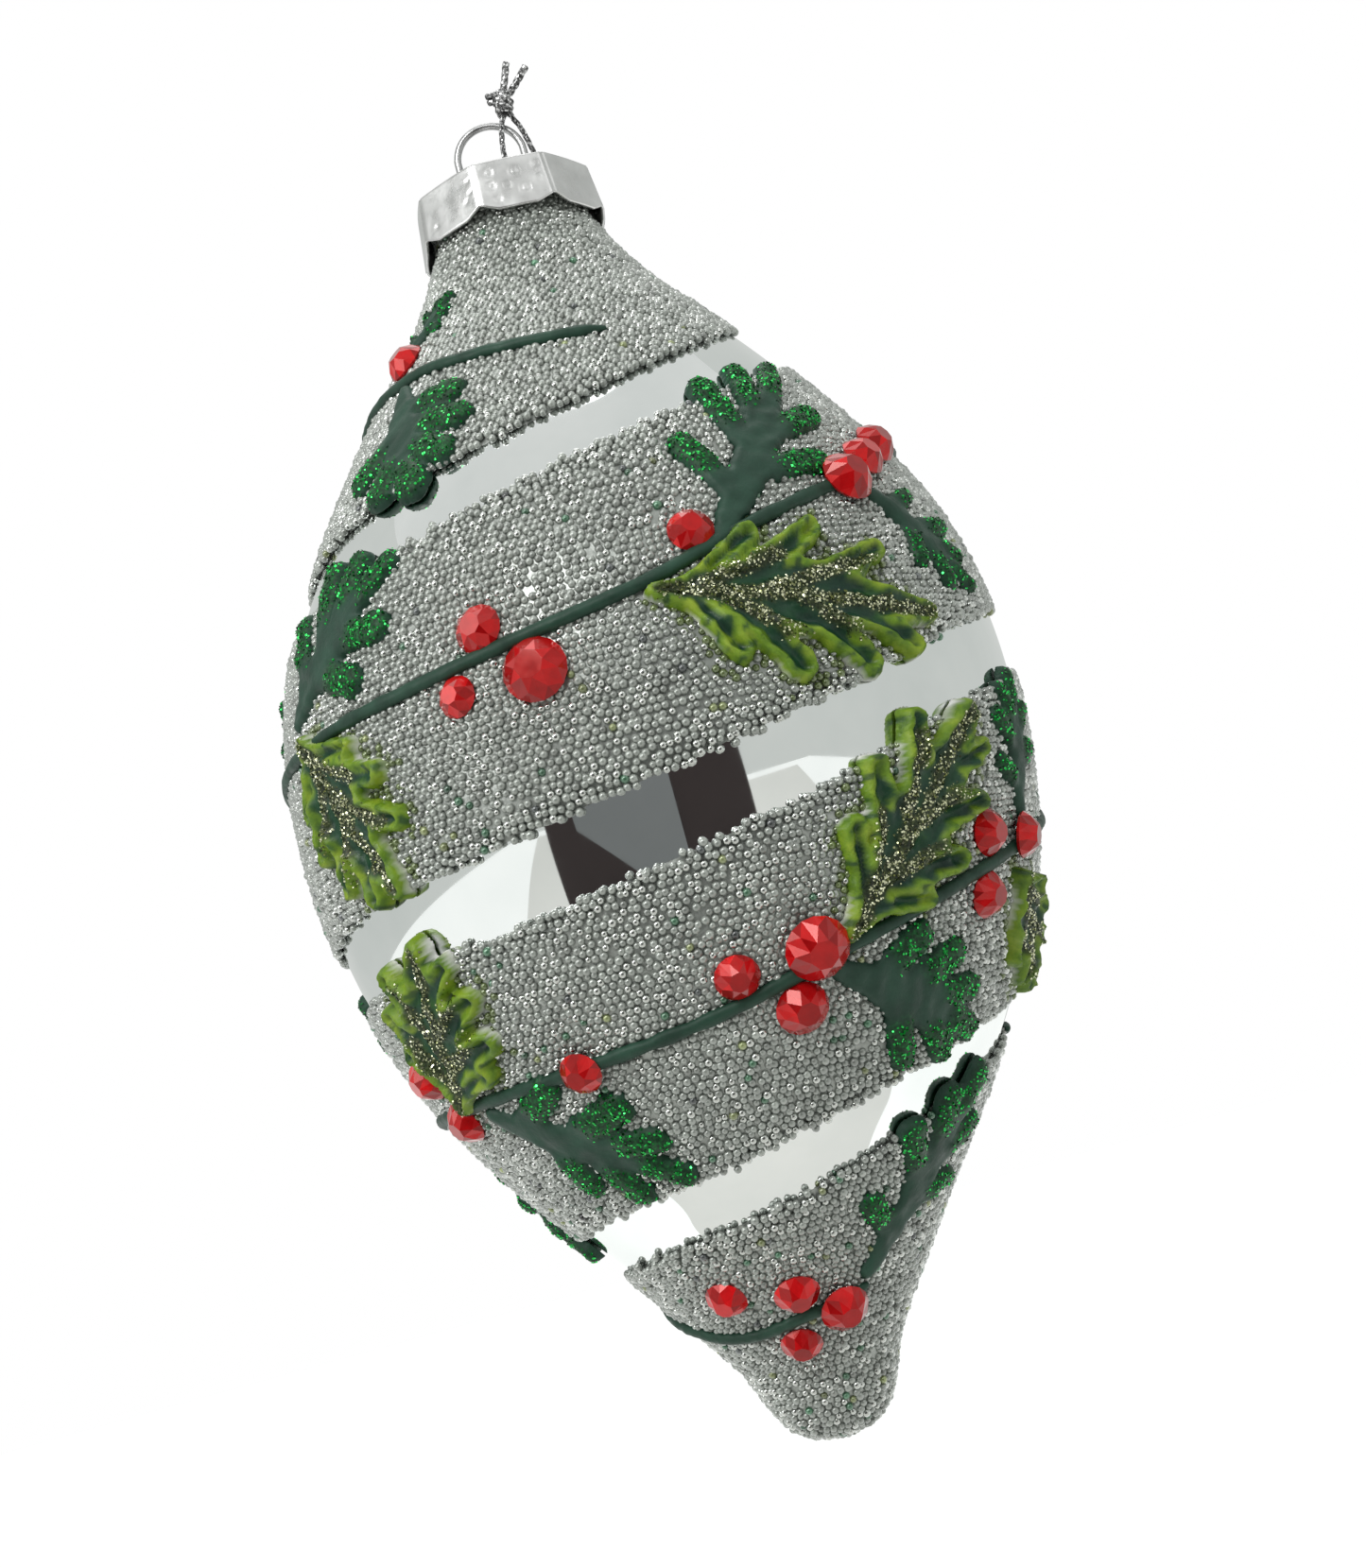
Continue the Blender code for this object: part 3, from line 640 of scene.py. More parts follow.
def wire_finish():
    f = Finish("ring_wire", grey(0.4), 0.26, 1.0)
    f.mottle(600.0, 3.0, (0.3, grey(0.3)), (0.7, grey(0.5)))
    f.wear(900.0, 3.0, 0.2, 0.36)
    f.bump(f.noise(2200.0, 2.0), 0.00003, 0.4)
    return f.material


def cord_finish():
    """Braided metallic thread: bright foil turns, with the gaps between them darkened by painted
    shade.
    """
    f = Finish("silver_cord", grey(0.55), 0.32, 0.85)
    foil = f.ramp(f.cells(4200.0)["Color"], [(0.3, grey(0.07)), (0.55, grey(0.3)),
                                             (0.85, grey(0.9))])
    # Painted shade: darker colour in the grooves between the plies.
    groove = f.ramp(f.value("groove"), [(0.1, grey(0.22)), (0.7, grey(1.0))])
    f.link(f.mix(1.0, foil, groove, "MULTIPLY"), "Base Color")
    f.wear(3000.0, 2.0, 0.2, 0.5)
    f.bump(f.cells(4200.0)["Distance"], 0.00005, 0.8)
    return f.material


# ---------------------------------------------------------------- cord

def twisted(path):
    """How the plies of a twisted cord stand out: 1 on a ply's back and 0 in the groove."""
    steps = np.linalg.norm(np.diff(path, axis=0), axis=1)
    along = np.concatenate([[0.0], np.cumsum(steps)]) / MM
    turn = np.arange(CORD_SIDES) * TAU / CORD_SIDES
    return np.abs(np.cos(PLIES * (turn[None, :] - TAU * PLY_TURNS * along[:, None]) / 2))


def cord_tube(name, path, material, radius=CORD / 2):
    """A length of cord, thinner in the grooves between its plies and thicker on their backs."""
    ply = twisted(path)
    tube = tube_mesh(name, path, radius * (0.8 + 0.24 * ply), CORD_SIDES, "hanger",
                     material)
    # The groove value also drives the painted shade in the grooves.
    add_values(tube, "groove", ply.ravel())
    return tube


# The knot about its centre, in millimetres. Wraps: width, depth, height, lean, start angle.
KNOT_WRAPS = [
    (0.66, 0.55, -1.15, 0.2, 3.0), (0.75, 0.62, -0.65, 0.18, 0.0),
    (0.86, 0.72, -0.1, -0.22, 1.1), (0.78, 0.66, 0.45, 0.2, 2.3),
]
KNOT_CROSSES = [
    [(-0.5, -0.05, -1.95), (-0.35, 0.0, -1.3), (-0.5, -0.62, -0.5), (0.25, -0.75, 0.35),
     (0.35, -0.1, 1.15)],
    [(0.5, 0.28, -1.8), (0.45, 0.1, -1.3), (0.6, -0.6, -0.35), (-0.15, -0.78, 0.5),
     (-0.1, 0.0, 1.2)],
]


def knot_paths():
    """Turns of the cord that make the knot, and the two small bights that stick out of it."""
    centre = np.array(KNOT_CENTRE)
    paths = []
    turn = np.linspace(0.0, 1.0, 72)
    for wide, deep, up, lean, start in KNOT_WRAPS:
        angle = TAU * turn + start
        x = wide * np.cos(angle)
        y = deep * np.sin(angle)
        z = up + lean * np.cos(angle) + 0.12 * np.sin(2 * angle)
        paths.append(centre + np.stack([x, y, z], 1) * MM)
    for cross in KNOT_CROSSES:
        paths.append(centre + smooth_line(cross, 16) * MM)
    for up, reach in ((0.75, -1.45), (0.02, -1.4)):
        bight = [(-0.2, -0.3, up - 0.1), (-0.85, -0.35, up + 0.05), (reach, -0.2, up + 0.12),
                 (-0.95, 0.05, up + 0.3), (-0.3, 0.1, up + 0.22)]
        paths.append(centre + smooth_line(bight, 12) * MM)
    return paths


def make_cord(material):
    """The whole cord; its hidden loop goes over the cap and down the back."""
    route = smooth_line(np.array(CORD_ROUTE) * MM, 20)
    loop = cord_tube("cord_loop_thread", route, material)
    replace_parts(loop, "cord_loop")
    pieces = []
    for number, path in enumerate(knot_paths(), 1):
        pieces.append(cord_tube(f"cord_knot_turn_{number}", path, material, KNOT_CORD_RADIUS))
    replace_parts(pieces[0], "cord_knot")
    for name, points in TAILS.items():
        path = smooth_line(np.array(points) * MM, 14)
        tail = cord_tube(name + "_thread", path, material, TAIL_RADIUS)
        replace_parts(tail, name)
        pieces.append(tail)


# ---------------------------------------------------------------- glass and beads

GLASS_WALL_SHARE = 0.024  # the wall against the glass's largest radius
NECK_LENGTHS = [0.0, 4.0, 8.0]  # millimetres down the inside of the neck


def make_mirror(material):
    """The silvered glass, turned finely enough to reflect cleanly, with its open neck."""
    around = 180
    rows = 220
    lengths = np.linspace(0.0, LENGTHS[-1] * 0.9995, rows)
    angles = np.arange(around) * 360.0 / around
    points = on_glass(angles[None, :], lengths[:, None], 0.0).reshape(-1, 3)
    faces = face_list(grid_faces(rows, around, closed=True))
    tip = len(points)
    points = np.vstack([points, [[0.0, 0.0, HEIGHTS[-1]]]])
    last = (rows - 1) * around
    faces += [(last + k, last + (k + 1) % around, tip) for k in range(around)]
    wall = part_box("glass_body")[1].x * GLASS_WALL_SHARE
    inner = len(points)
    inside = on_glass(angles[None, :], np.array(NECK_LENGTHS)[:, None] * MM, -wall)
    points = np.vstack([points, inside.reshape(-1, 3)])
    for k in range(around):
        after = (k + 1) % around
        faces.append((k, inner + k, inner + after, after))
        for row in (0, 1):
            low = inner + row * around
            faces.append((low + k, low + around + k, low + around + after, low + after))
    glass = mesh_object("glass_mirror", points, [f[::-1] for f in faces], "ornament",
                        material)
    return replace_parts(glass, "glass_body")


def glue_patch(angles, upper, lower, rows):
    """Points of the glue between an upper and a lower edge, with its edges brought down."""
    share = np.linspace(0.0, 1.0, rows)
    recess = np.minimum(GLUE_RECESS, (lower - upper) / 3)
    upper, lower = upper + recess, lower - recess
    lengths = upper[:, None] + (lower - upper)[:, None] * share[None, :]
    lift = np.full(rows, GLUE_LIFT)
    lift[0] = lift[-1] = GLUE_FOOT
    lift[1] = lift[-2] = GLUE_SHOULDER
    ragged = GLUE_RAGGED * lumps(angles[:, None] * 3.0, lengths / MM * 3.0, 2.0, 5)
    lengths = lengths + ragged * ((share[None, :] > 0) & (share[None, :] < 1))
    points = on_glass(angles[:, None], lengths, lift[None, :])
    return points.reshape(-1, 3), grid_faces(len(angles), rows)


def make_glue(material):
    """The glue skin in three lengths: above the stripe, between its turns and below it."""
    step = 3.0
    first, last = float(STRIPE_ANGLES[0]), float(STRIPE_ANGLES[-1])
    top = np.arange(first, first - 360.0 - step, -step)
    middle = np.arange(first, last + 360.0 - step, -step)
    bottom = np.arange(last + 360.0, last - step, -step)
    neck = np.full(len(top), float(length_at(COAT_TOP)))
    end = np.full(len(bottom), LENGTHS[-1] - 0.05 * MM)
    patches = [
        (top, neck, stripe_edges(top)[0], 30),
        (middle, stripe_edges(middle)[1], stripe_edges(middle - 360.0)[0], 30),
        (bottom, stripe_edges(np.maximum(bottom, last))[1], end, 24),
    ]
    points, faces, start = [], [], 0
    for angles, upper, lower, rows in patches:
        p, f = glue_patch(angles, upper, np.maximum(lower, upper), rows)
        points.append(p)
        faces.append(f + start)
        start += len(p)
    glue = mesh_object("bead_glue", np.vstack(points), np.vstack(faces), "ornament",
                       material)
    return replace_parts(glue, "bead_coat")


def bead_places(draw):
    """Angle and length of every bead: close rows round the glass, shaken a little."""
    angles, lengths = [], []
    length = float(length_at(COAT_TOP)) + 0.2 * MM
    row = 0
    while length < LENGTHS[-1] - 0.1 * MM:
        radius = float(radius_at(length)) + BEAD_LIFT
        count = max(4, int(TAU * radius / BEAD_PITCH))
        turn = (np.arange(count) + 0.5 * (row % 2) + draw.uniform(-0.2, 0.2)) * 360.0 / count
        turn = turn + draw.normal(0.0, BEAD_SHAKE, count) / radius * 180.0 / math.pi
        angles.append(turn)
        lengths.append(length + draw.normal(0.0, BEAD_SHAKE, count))
        length += BEAD_ROW_GAP
        row += 1
    return np.concatenate(angles), np.minimum(np.concatenate(lengths), LENGTHS[-1])


# Kinds of bead: their share, colour, and how much the shade differs from bead to bead.
BEAD_TINTS = [
    (0.88, (0.32, 0.342, 0.312), 0.09),
    (0.082, (0.24, 0.255, 0.232), 0.1),
    (0.018, (0.06, 0.16, 0.09), 0.3),
    (0.01, (0.26, 0.3, 0.13), 0.25),
    (0.01, (0.09, 0.1, 0.1), 0.3),
]


def bead_tints(lengths, draw):
    """A colour for each bead: mostly silvery, some darker, flecks of paint mostly lower down."""
    count = len(lengths)
    kind = draw.choice(len(BEAD_TINTS), count, p=[t[0] for t in BEAD_TINTS])
    flecked = 0.3 + 0.7 * soft_step(60 * MM, 110 * MM, lengths)
    kind[(kind > 1) & (draw.uniform(0, 1, count) > flecked)] = 0
    base = np.array([t[1] for t in BEAD_TINTS])[kind]
    spread = np.array([t[2] for t in BEAD_TINTS])[kind]
    shade = 1.0 + spread * draw.normal(0.0, 1.0, count)
    return np.clip(base * shade[:, None], 0.01, 0.95)


def bead_shape():
    """One bead of radius 1: its points, quads of its bands and foot, triangles of its top."""
    sides = 10
    rings = ((0.55, -0.83), (0.94, -0.34), (0.97, 0.24), (0.66, 0.75))
    turn = np.arange(sides) * TAU / sides
    points = [(r * math.cos(t), r * math.sin(t), h) for r, h in rings for t in turn]
    points.append((0.0, 0.0, 1.0))
    foot = [(k + 1, k, sides - 1 - k, sides - 2 - k) for k in range(sides // 2 - 1)]
    quads = np.vstack([grid_faces(len(rings), sides, closed=True), np.array(foot)])
    first = (len(rings) - 1) * sides
    top = np.arange(sides)
    triangles = np.stack([first + top, first + (top + 1) % sides, np.full(sides, first + sides)], 1)
    return np.array(points), quads, triangles


def make_beads(blades, material):
    """All the beads as joined pieces, none on the bare stripe or hidden under a leaf."""
    draw = np.random.default_rng(11)
    angles, lengths = bead_places(draw)
    edge = 0.16 * MM + 0.14 * MM * draw.normal(0.0, 1.0, len(angles))
    keep = stripe_clearance(angles, lengths) > edge
    keep &= draw.uniform(0, 1, len(angles)) > BEADS_LOST
    angles, lengths = angles[keep], lengths[keep]
    tints_and_light = bead_tints(lengths, draw)
    glints = (draw.uniform(0, 1, len(angles)) < BEAD_GLINT_SHARE) & (tints_and_light[:, 0] > 0.22)
    under = np.full(len(angles), 1.0)
    stain_and_shade = np.zeros(len(angles))
    for blade in blades:
        gap = blade.gap_from(angles, lengths)
        under = np.minimum(under, gap)
        if blade.stains_and_shades:
            stain_and_shade = np.maximum(stain_and_shade, 1.0 - np.clip(gap / STAIN_AND_SHADE_REACH, 0.0, 1.0))
    # Darker olive tint near leaves: paint stain and painted shade from the leaf.
    stained_and_shaded = (stain_and_shade > 0) & (draw.uniform(0, 1, len(angles)) < STAIN_AND_SHADE_SHARE * stain_and_shade)
    tints_and_light[stained_and_shaded] *= np.array(STAIN_AND_SHADE_TINT)
    keep = under > -BEAD_UNDER_BLADE
    angles, lengths, tints_and_light, glints = angles[keep], lengths[keep], tints_and_light[keep], glints[keep]
    shape, quads, triangles = bead_shape()
    size = BEAD_RADIUS * np.clip(1.0 + 0.08 * draw.normal(0.0, 1.0, len(angles)), 0.75, 1.18)
    inside = soft_step(0.0, 2 * BEAD_RADIUS, stripe_clearance(angles, lengths))
    lift = BEAD_EDGE_LIFT + (BEAD_LIFT - BEAD_EDGE_LIFT) * inside
    lift = lift + 0.05 * MM * draw.normal(0.0, 1.0, len(angles))
    spin = draw.uniform(0, TAU, len(angles))
    centre = on_glass(angles, lengths, lift)
    right, up, out = axes_at(angles, lengths)
    across = right * np.cos(spin)[:, None] + up * np.sin(spin)[:, None]
    over = np.cross(out, across)
    points = (centre[:, None, :] + size[:, None, None]
              * (shape[None, :, 0:1] * across[:, None, :] + shape[None, :, 1:2] * over[:, None, :]
                 + shape[None, :, 2:3] * out[:, None, :]))
    pieces = math.ceil(len(angles) / BEADS_A_PIECE)
    for piece in range(pieces):
        some = slice(piece * BEADS_A_PIECE, (piece + 1) * BEADS_A_PIECE)
        p = points[some]
        start = (np.arange(len(p)) * len(shape))[:, None, None]
        make_bead_piece(f"beads_{piece + 1:02d}", p.reshape(-1, 3),
                        (quads[None] + start).reshape(-1, 4),
                        (triangles[None] + start).reshape(-1, 3),
                        np.repeat(tints_and_light[some], len(shape), axis=0),
                        np.repeat(glints[some], len(shape)), material)


def make_bead_piece(name, points, quads, triangles, tints_and_light, glints, material):
    """One joined piece of beads, with the colour and the glint of each bead on its points."""
    mesh = bpy.data.meshes.new(name)
    corners = np.concatenate([quads.ravel(), triangles.ravel()])
    starts = np.concatenate([np.arange(len(quads)) * 4, quads.size + np.arange(len(triangles)) * 3])
    fill_mesh(mesh, points, corners, starts)
    mesh.polygons.foreach_set("use_smooth", [True] * len(mesh.polygons))
    thing = place_piece(name, mesh, "ornament", material)
    add_colours(thing, "tint_and_light", tints_and_light)
    add_values(thing, "glint", glints)


# ---------------------------------------------------------------- leaves and sprigs

FLAKE_SIDES = 6


class Blade:
    """A leaf or a sprig: rounded fingers joined into one outline, raised off the glass.

    Its own coordinates are u along the midrib and v across it, to the left, in metres.
    """

    step = 0.27 * MM
    stains_and_shades = False

    def __init__(self, place, fingers, ribs, blend):
        self.angle, self.height = place[0], place[1] * MM
        self.turn = math.radians(place[2])
        self.long, self.wide = place[3] * MM, place[4] * MM
        self.start = float(length_at(self.height))
        self.fingers = self.scaled(fingers)
        self.ribs = self.scaled(ribs)
        self.blend = blend
        self.seed = int(abs(place[0]) * 10 + abs(place[1]))

    def scaled(self, rows):
        """Fingers from shares of the length and half-width, and radii in mm, to metres."""
        table = []
        for u0, v0, u1, v1, r0, r1 in rows:
            half = self.wide / 2
            table.append((u0 * self.long, v0 * half, u1 * self.long, v1 * half, r0 * MM, r1 * MM))
        return np.array(table)

    def grain(self, u, v, size, number):
        """Bumps of a size in millimetres; each number gives this blade other ones."""
        return lumps(u / MM, v / MM, size, self.seed + number)

    def fingers_at(self, u, v, table):
        """Distance from each finger's axis and how far along it, for each point."""
        p = np.stack([u, v], -1)[..., None, :]
        a, b = table[:, 0:2], table[:, 2:4]
        along = b - a
        t = np.clip(((p - a) * along).sum(-1) / (along * along).sum(-1), 0.0, 1.0)
        return np.linalg.norm(p - a - t[..., None] * along, axis=-1), t

    def gap(self, u, v):
        """Distance outside the outline, below zero inside it."""
        far, t = self.fingers_at(u, v, self.fingers)
        edge = far - (self.fingers[:, 4] + (self.fingers[:, 5] - self.fingers[:, 4]) * t)
        low = edge.min(-1, keepdims=True)
        joined = low[..., 0] - self.blend * np.log(np.exp(-(edge - low) / self.blend).sum(-1))
        return joined + 0.12 * MM * self.grain(u, v, 1.1, 0)

    def on_body(self, u, v):
        """Angle and length on the glass of a point of the blade."""
        right = u * math.cos(self.turn) - v * math.sin(self.turn)
        up = u * math.sin(self.turn) + v * math.cos(self.turn)
        length = np.clip(self.start - up, 0.0, LENGTHS[-1])
        radius = radius_at((length + self.start) / 2)
        return self.angle + np.degrees(right / radius), length

    def from_body(self, angle, length):
        wound = (angle - self.angle + 180.0) % 360.0 - 180.0
        right = np.radians(wound) * radius_at((length + self.start) / 2)
        up = self.start - length
        u = right * math.cos(self.turn) + up * math.sin(self.turn)
        v = -right * math.sin(self.turn) + up * math.cos(self.turn)
        return u, v

    def gap_from(self, angle, length):
        u, v = self.from_body(angle, length)
        near = (u > -4 * MM) & (u < self.long + 4 * MM) & (np.abs(v) < self.wide / 2 + 4 * MM)
        gap = np.full(len(angle), 1.0)
        if near.any():
            gap[near] = self.gap(u[near], v[near])
        return gap

    def point(self, u, v, lift):
        angle, length = self.on_body(u, v)
        return on_glass(angle, length, lift)

    def mesh(self, name, body, slot, material):
        """The raised blade as a closed piece: its top, its wall and a flat underside."""
        margin = 1.0 * MM + self.fingers[:, 4:6].max()
        table = self.fingers
        low_u = min(table[:, 0].min(), table[:, 2].min()) - margin
        high_u = max(table[:, 0].max(), table[:, 2].max()) + margin
        reach = max(np.abs(table[:, 1]).max(), np.abs(table[:, 3]).max()) + margin
        us = np.arange(low_u, high_u, self.step)
        vs = np.arange(-reach, reach, self.step)
        u, v = np.meshgrid(us, vs, indexing="ij")
        gap = self.gap(u, v)
        inside = gap < 0
        quads = grid_faces(len(us), len(vs))
        keep = inside.ravel()[quads].sum(1) >= 2
        quads = quads[keep]
        u, v, gap = u.ravel(), v.ravel(), gap.ravel()
        used = np.unique(quads)
        rim = used[gap[used] >= 0]
        for _ in range(3):
            d = 0.02 * MM
            here = self.gap(u[rim], v[rim])
            du = (self.gap(u[rim] + d, v[rim]) - here) / d
            dv = (self.gap(u[rim], v[rim] + d) - here) / d
            slope = np.maximum(du * du + dv * dv, 0.2)
            u[rim] = u[rim] - here * du / slope
            v[rim] = v[rim] - here * dv / slope
        index = np.full(len(u), -1)
        index[used] = np.arange(len(used))
        u, v = u[used], v[used]
        quads = index[quads]
        edge = self.boundary(quads)
        tall = self.lift(u, v)
        on_edge = np.zeros(len(u), bool)
        on_edge[edge[:, 0]] = True
        tall[on_edge] = BLADE_FOOT
        top = self.point(u, v, tall)
        under = self.point(u, v, np.full(len(u), BLADE_FOOT - 0.12 * MM))
        points = np.vstack([top, under])
        n = len(u)
        walls = np.stack([edge[:, 1], edge[:, 0], edge[:, 0] + n, edge[:, 1] + n], 1)
        faces = np.vstack([quads[:, ::-1], quads + n, walls[:, ::-1]])
        faces = self.outwards(points, faces, len(quads))
        blade = mesh_object(name, points, faces, body, material)
        for key, values in self.paint(u, v, tall).items():
            add_values(blade, key, np.concatenate([values, values]))
        return blade

    @staticmethod
    def boundary(quads):
        """Edges that only one quad has, in that quad's own direction."""
        edges = np.concatenate([quads[:, [k, (k + 1) % 4]] for k in range(4)])
        order = np.sort(edges, 1)
        key = order[:, 0].astype(np.int64) * (quads.max() + 1) + order[:, 1]
        _, where, count = np.unique(key, return_index=True, return_counts=True)
        return edges[where[count == 1]]

    @staticmethod
    def outwards(points, faces, tops):
        """All faces turned over if the first top face looks at the axis."""
        corner = points[faces[:tops]]
        normal = np.cross(corner[:, 1] - corner[:, 0], corner[:, 2] - corner[:, 0]).sum(0)
        centre = corner.mean((0, 1)) * np.array([1.0, 1.0, 0.0])
        return faces if np.dot(normal, centre) > 0 else faces[:, ::-1]

    def glitter(self, draw):
        """Corner points of flat glitter flakes, tilted at random, where the blade carries them."""
        count = int(self.flakes_a_mm2 * (self.long * self.wide / MM ** 2))
        found_u, found_v = [], []
        while sum(len(x) for x in found_u) < count:
            u = draw.uniform(-1 * MM, self.long + 2 * MM, 4000)
            v = draw.uniform(-self.wide / 2 - 2 * MM, self.wide / 2 + 2 * MM, 4000)
            share = self.flake_share(u, v) * (self.gap(u, v) < -0.12 * MM)
            keep = draw.uniform(0, 1, len(u)) < share
            found_u.append(u[keep])
            found_v.append(v[keep])
        u = np.concatenate(found_u)[:count]
        v = np.concatenate(found_v)[:count]
        d = 0.1 * MM
        lift = self.lift(u, v)
        centre = self.point(u, v, lift + 0.02 * MM)
        along = unit(self.point(u + d, v, self.lift(u + d, v)) - self.point(u, v, lift))
        side = unit(self.point(u, v + d, self.lift(u, v + d)) - self.point(u, v, lift))
        normal = unit(np.cross(along, side))
        outward = centre * np.array([1.0, 1.0, 0.0])
        normal = normal * np.sign((normal * outward).sum(-1, keepdims=True))
        normal = unit(normal + 0.42 * draw.normal(0.0, 1.0, normal.shape))
        across = unit(np.cross(normal, draw.normal(0.0, 1.0, normal.shape)))
        over = np.cross(normal, across)
        radius = self.flake * draw.uniform(0.7, 1.25, len(u))
        turn = np.arange(FLAKE_SIDES) * TAU / FLAKE_SIDES
        return (centre[:, None, :] + 0.03 * MM * normal[:, None, :]
                + radius[:, None, None] * (np.cos(turn)[None, :, None] * across[:, None, :]
                                           + np.sin(turn)[None, :, None] * over[:, None, :]))


# Fingers and ribs: where each starts and ends, as shares of the length and of the half-width,
# and its radius in mm at both ends.
HOLLY_FINGERS = [
    (0.0, 0.0, 0.45, 0.0, 1.0, 3.6),
    (0.45, 0.0, 0.95, 0.0, 3.6, 1.3),
    (0.1, 0.0, 0.3, 0.72, 1.2, 1.35),
    (0.25, 0.0, 0.52, 0.86, 2.0, 1.4),
    (0.45, 0.0, 0.76, 0.7, 2.0, 1.3),
    (0.1, 0.0, 0.26, -0.66, 1.2, 1.4),
    (0.22, 0.0, 0.46, -0.84, 2.0, 1.5),
    (0.42, 0.0, 0.7, -0.74, 2.0, 1.35),
    (0.62, 0.0, 0.88, -0.44, 1.8, 1.2),
]
HOLLY_RIBS = [
    (0.02, 0.0, 0.95, 0.0, 0.5, 0.5),
    (0.1, 0.0, 0.4, 0.5, 0.4, 0.4),
    (0.32, 0.0, 0.72, 0.52, 0.4, 0.4),
    (0.2, 0.0, 0.5, -0.6, 0.4, 0.4),
    (0.45, 0.0, 0.74, -0.55, 0.4, 0.4),
]


class Leaf(Blade):
    """A moulded holly leaf: rolled rim, sunk inside, ribs with gold glitter."""

    # Leaves darken the beads around them: paint stain and painted shade.
    stains_and_shades = True
    thick = 1.25 * MM
    roll = 0.5 * MM
    sunk = 0.42 * MM
    rib_tall = 0.42 * MM
    rib_wide = 0.78 * MM
    flakes_a_mm2 = 4.6
    flake = 0.1 * MM

    def __init__(self, place):
        super().__init__(place, HOLLY_FINGERS, HOLLY_RIBS, 0.3 * MM)

    def rib_share(self, u, v):
        far, _ = self.fingers_at(u, v, self.ribs)
        width = self.rib_wide * (1.0 + 0.3 * self.grain(u, v, 1.6, 3))
        return np.exp(-(far.min(-1) / width) ** 2)

    def lift(self, u, v):
        """Height over the glass: a steep rolled rim, a sunk inside and raised ribs."""
        deep = np.maximum(-self.gap(u, v), 0.0)
        x = np.clip(deep / (0.5 * MM), 0.0, 1.0)
        wall = np.sqrt(1.0 - (1.0 - x) ** 2)
        roll = self.roll * np.exp(-((deep - 0.6 * MM) / (0.3 * MM)) ** 2)
        sunk = -self.sunk * soft_step(0.8 * MM, 1.5 * MM, deep)
        rough = 0.2 * MM * self.grain(u, v, 1.5, 1) * x
        fine = 0.07 * MM * self.grain(u, v, 0.5, 2) * x
        rib = self.rib_tall * self.rib_share(u, v) * x
        return BLADE_FOOT + wall * (self.thick + roll + sunk) + rough + fine + rib

    def paint(self, u, v, tall):
        deep = -self.gap(u, v)
        streak = 0.35 * MM * self.grain(u, v, 1.3, 4)
        rim = 1.0 - soft_step(0.75 * MM, 1.25 * MM, deep + streak)
        pits = soft_step(0.55, 0.8, self.grain(u, v, 0.9, 5))
        rib = soft_step(0.25, 0.7, self.rib_share(u, v)) * soft_step(0.3 * MM, 1.0 * MM, deep)
        low = 1.0 - soft_step(0.55 * MM, 0.95 * MM, tall - BLADE_FOOT)
        patch = soft_step(-0.1, 0.25, self.grain(u, v, 4.0, 6))
        outer = 1.0 - soft_step(0.45 * MM, 0.8 * MM, deep)
        return {"rim": rim * (1.0 - 0.75 * pits), "rib": rib, "clay": low * patch * outer}

    def flake_share(self, u, v):
        return soft_step(0.15, 0.85, self.rib_share(u, v))


# Finger tips of the two kinds of sprig: share along, share of the half-width, radius in mm.
LONG_TIPS = [(0.36, 1.08, 1.7), (0.68, 1.12, 1.85), (0.86, 0.62, 1.7), (1.0, -0.02, 1.6),
             (0.8, -0.76, 1.8), (0.54, -0.95, 1.8)]
FAN_TIPS = [(0.62, 1.0, 1.7), (0.86, 0.58, 1.8), (1.0, -0.02, 1.75), (0.88, -0.62, 1.7),
            (0.67, -1.0, 1.8), (0.42, -1.0, 1.7)]


def sprig_fingers(tips, side, wide):
    """The stalk and a finger to each tip, leaving the stalk well before its tip's share."""
    small = min(1.0, wide / 12.0)
    fingers = [(0.0, 0.0, 0.28, 0.0, 1.0, 2.0 * small),
               (0.28, 0.0, 0.6, 0.0, 2.0 * small, 2.4 * small)]
    for along, across, radius in tips:
        root = max(0.14, along * 0.66 - 0.06)
        fingers.append((root, 0.0, along - 0.06, side * across * 0.82, 1.6 * small, radius * small))
    return fingers


class Sprig(Blade):
    """A painted sprig with lobes on both sides and emerald glitter on their tips."""

    thick = 1.0 * MM
    swell = 0.28 * MM
    flakes_a_mm2 = 2.6
    flake = 0.12 * MM

    def __init__(self, place, tips):
        fingers = sprig_fingers(tips, place[5], place[4])
        super().__init__(place, fingers, fingers[1:], 0.16 * MM)

    def tip_share(self, u, v):
        """1 towards the end of each finger and 0 along the stalk and the fingers' roots."""
        far, t = self.fingers_at(u, v, self.fingers[2:])
        nearest = far.argmin(-1)
        along = np.take_along_axis(t, nearest[..., None], -1)[..., 0]
        return soft_step(0.3, 0.6, along)

    def lift(self, u, v):
        deep = np.maximum(-self.gap(u, v), 0.0)
        x = np.clip(deep / (1.0 * MM), 0.0, 1.0)
        wall = np.sqrt(1.0 - (1.0 - x) ** 2)
        swell = self.swell * self.tip_share(u, v) * x
        rough = 0.1 * MM * self.grain(u, v, 1.4, 1) * x
        return BLADE_FOOT + wall * self.thick + swell + rough

    def paint(self, u, v, tall):
        deep = -self.gap(u, v)
        return {"glitter": self.tip_share(u, v) * soft_step(0.1 * MM, 0.5 * MM, deep)}

    def flake_share(self, u, v):
        return self.tip_share(u, v)


def make_flakes(name, corners, material):
    corners = np.concatenate(corners)
    faces = np.arange(len(corners) * FLAKE_SIDES).reshape(-1, FLAKE_SIDES)
    mesh_object(name, corners.reshape(-1, 3), faces, "ornament", material, smooth=False)


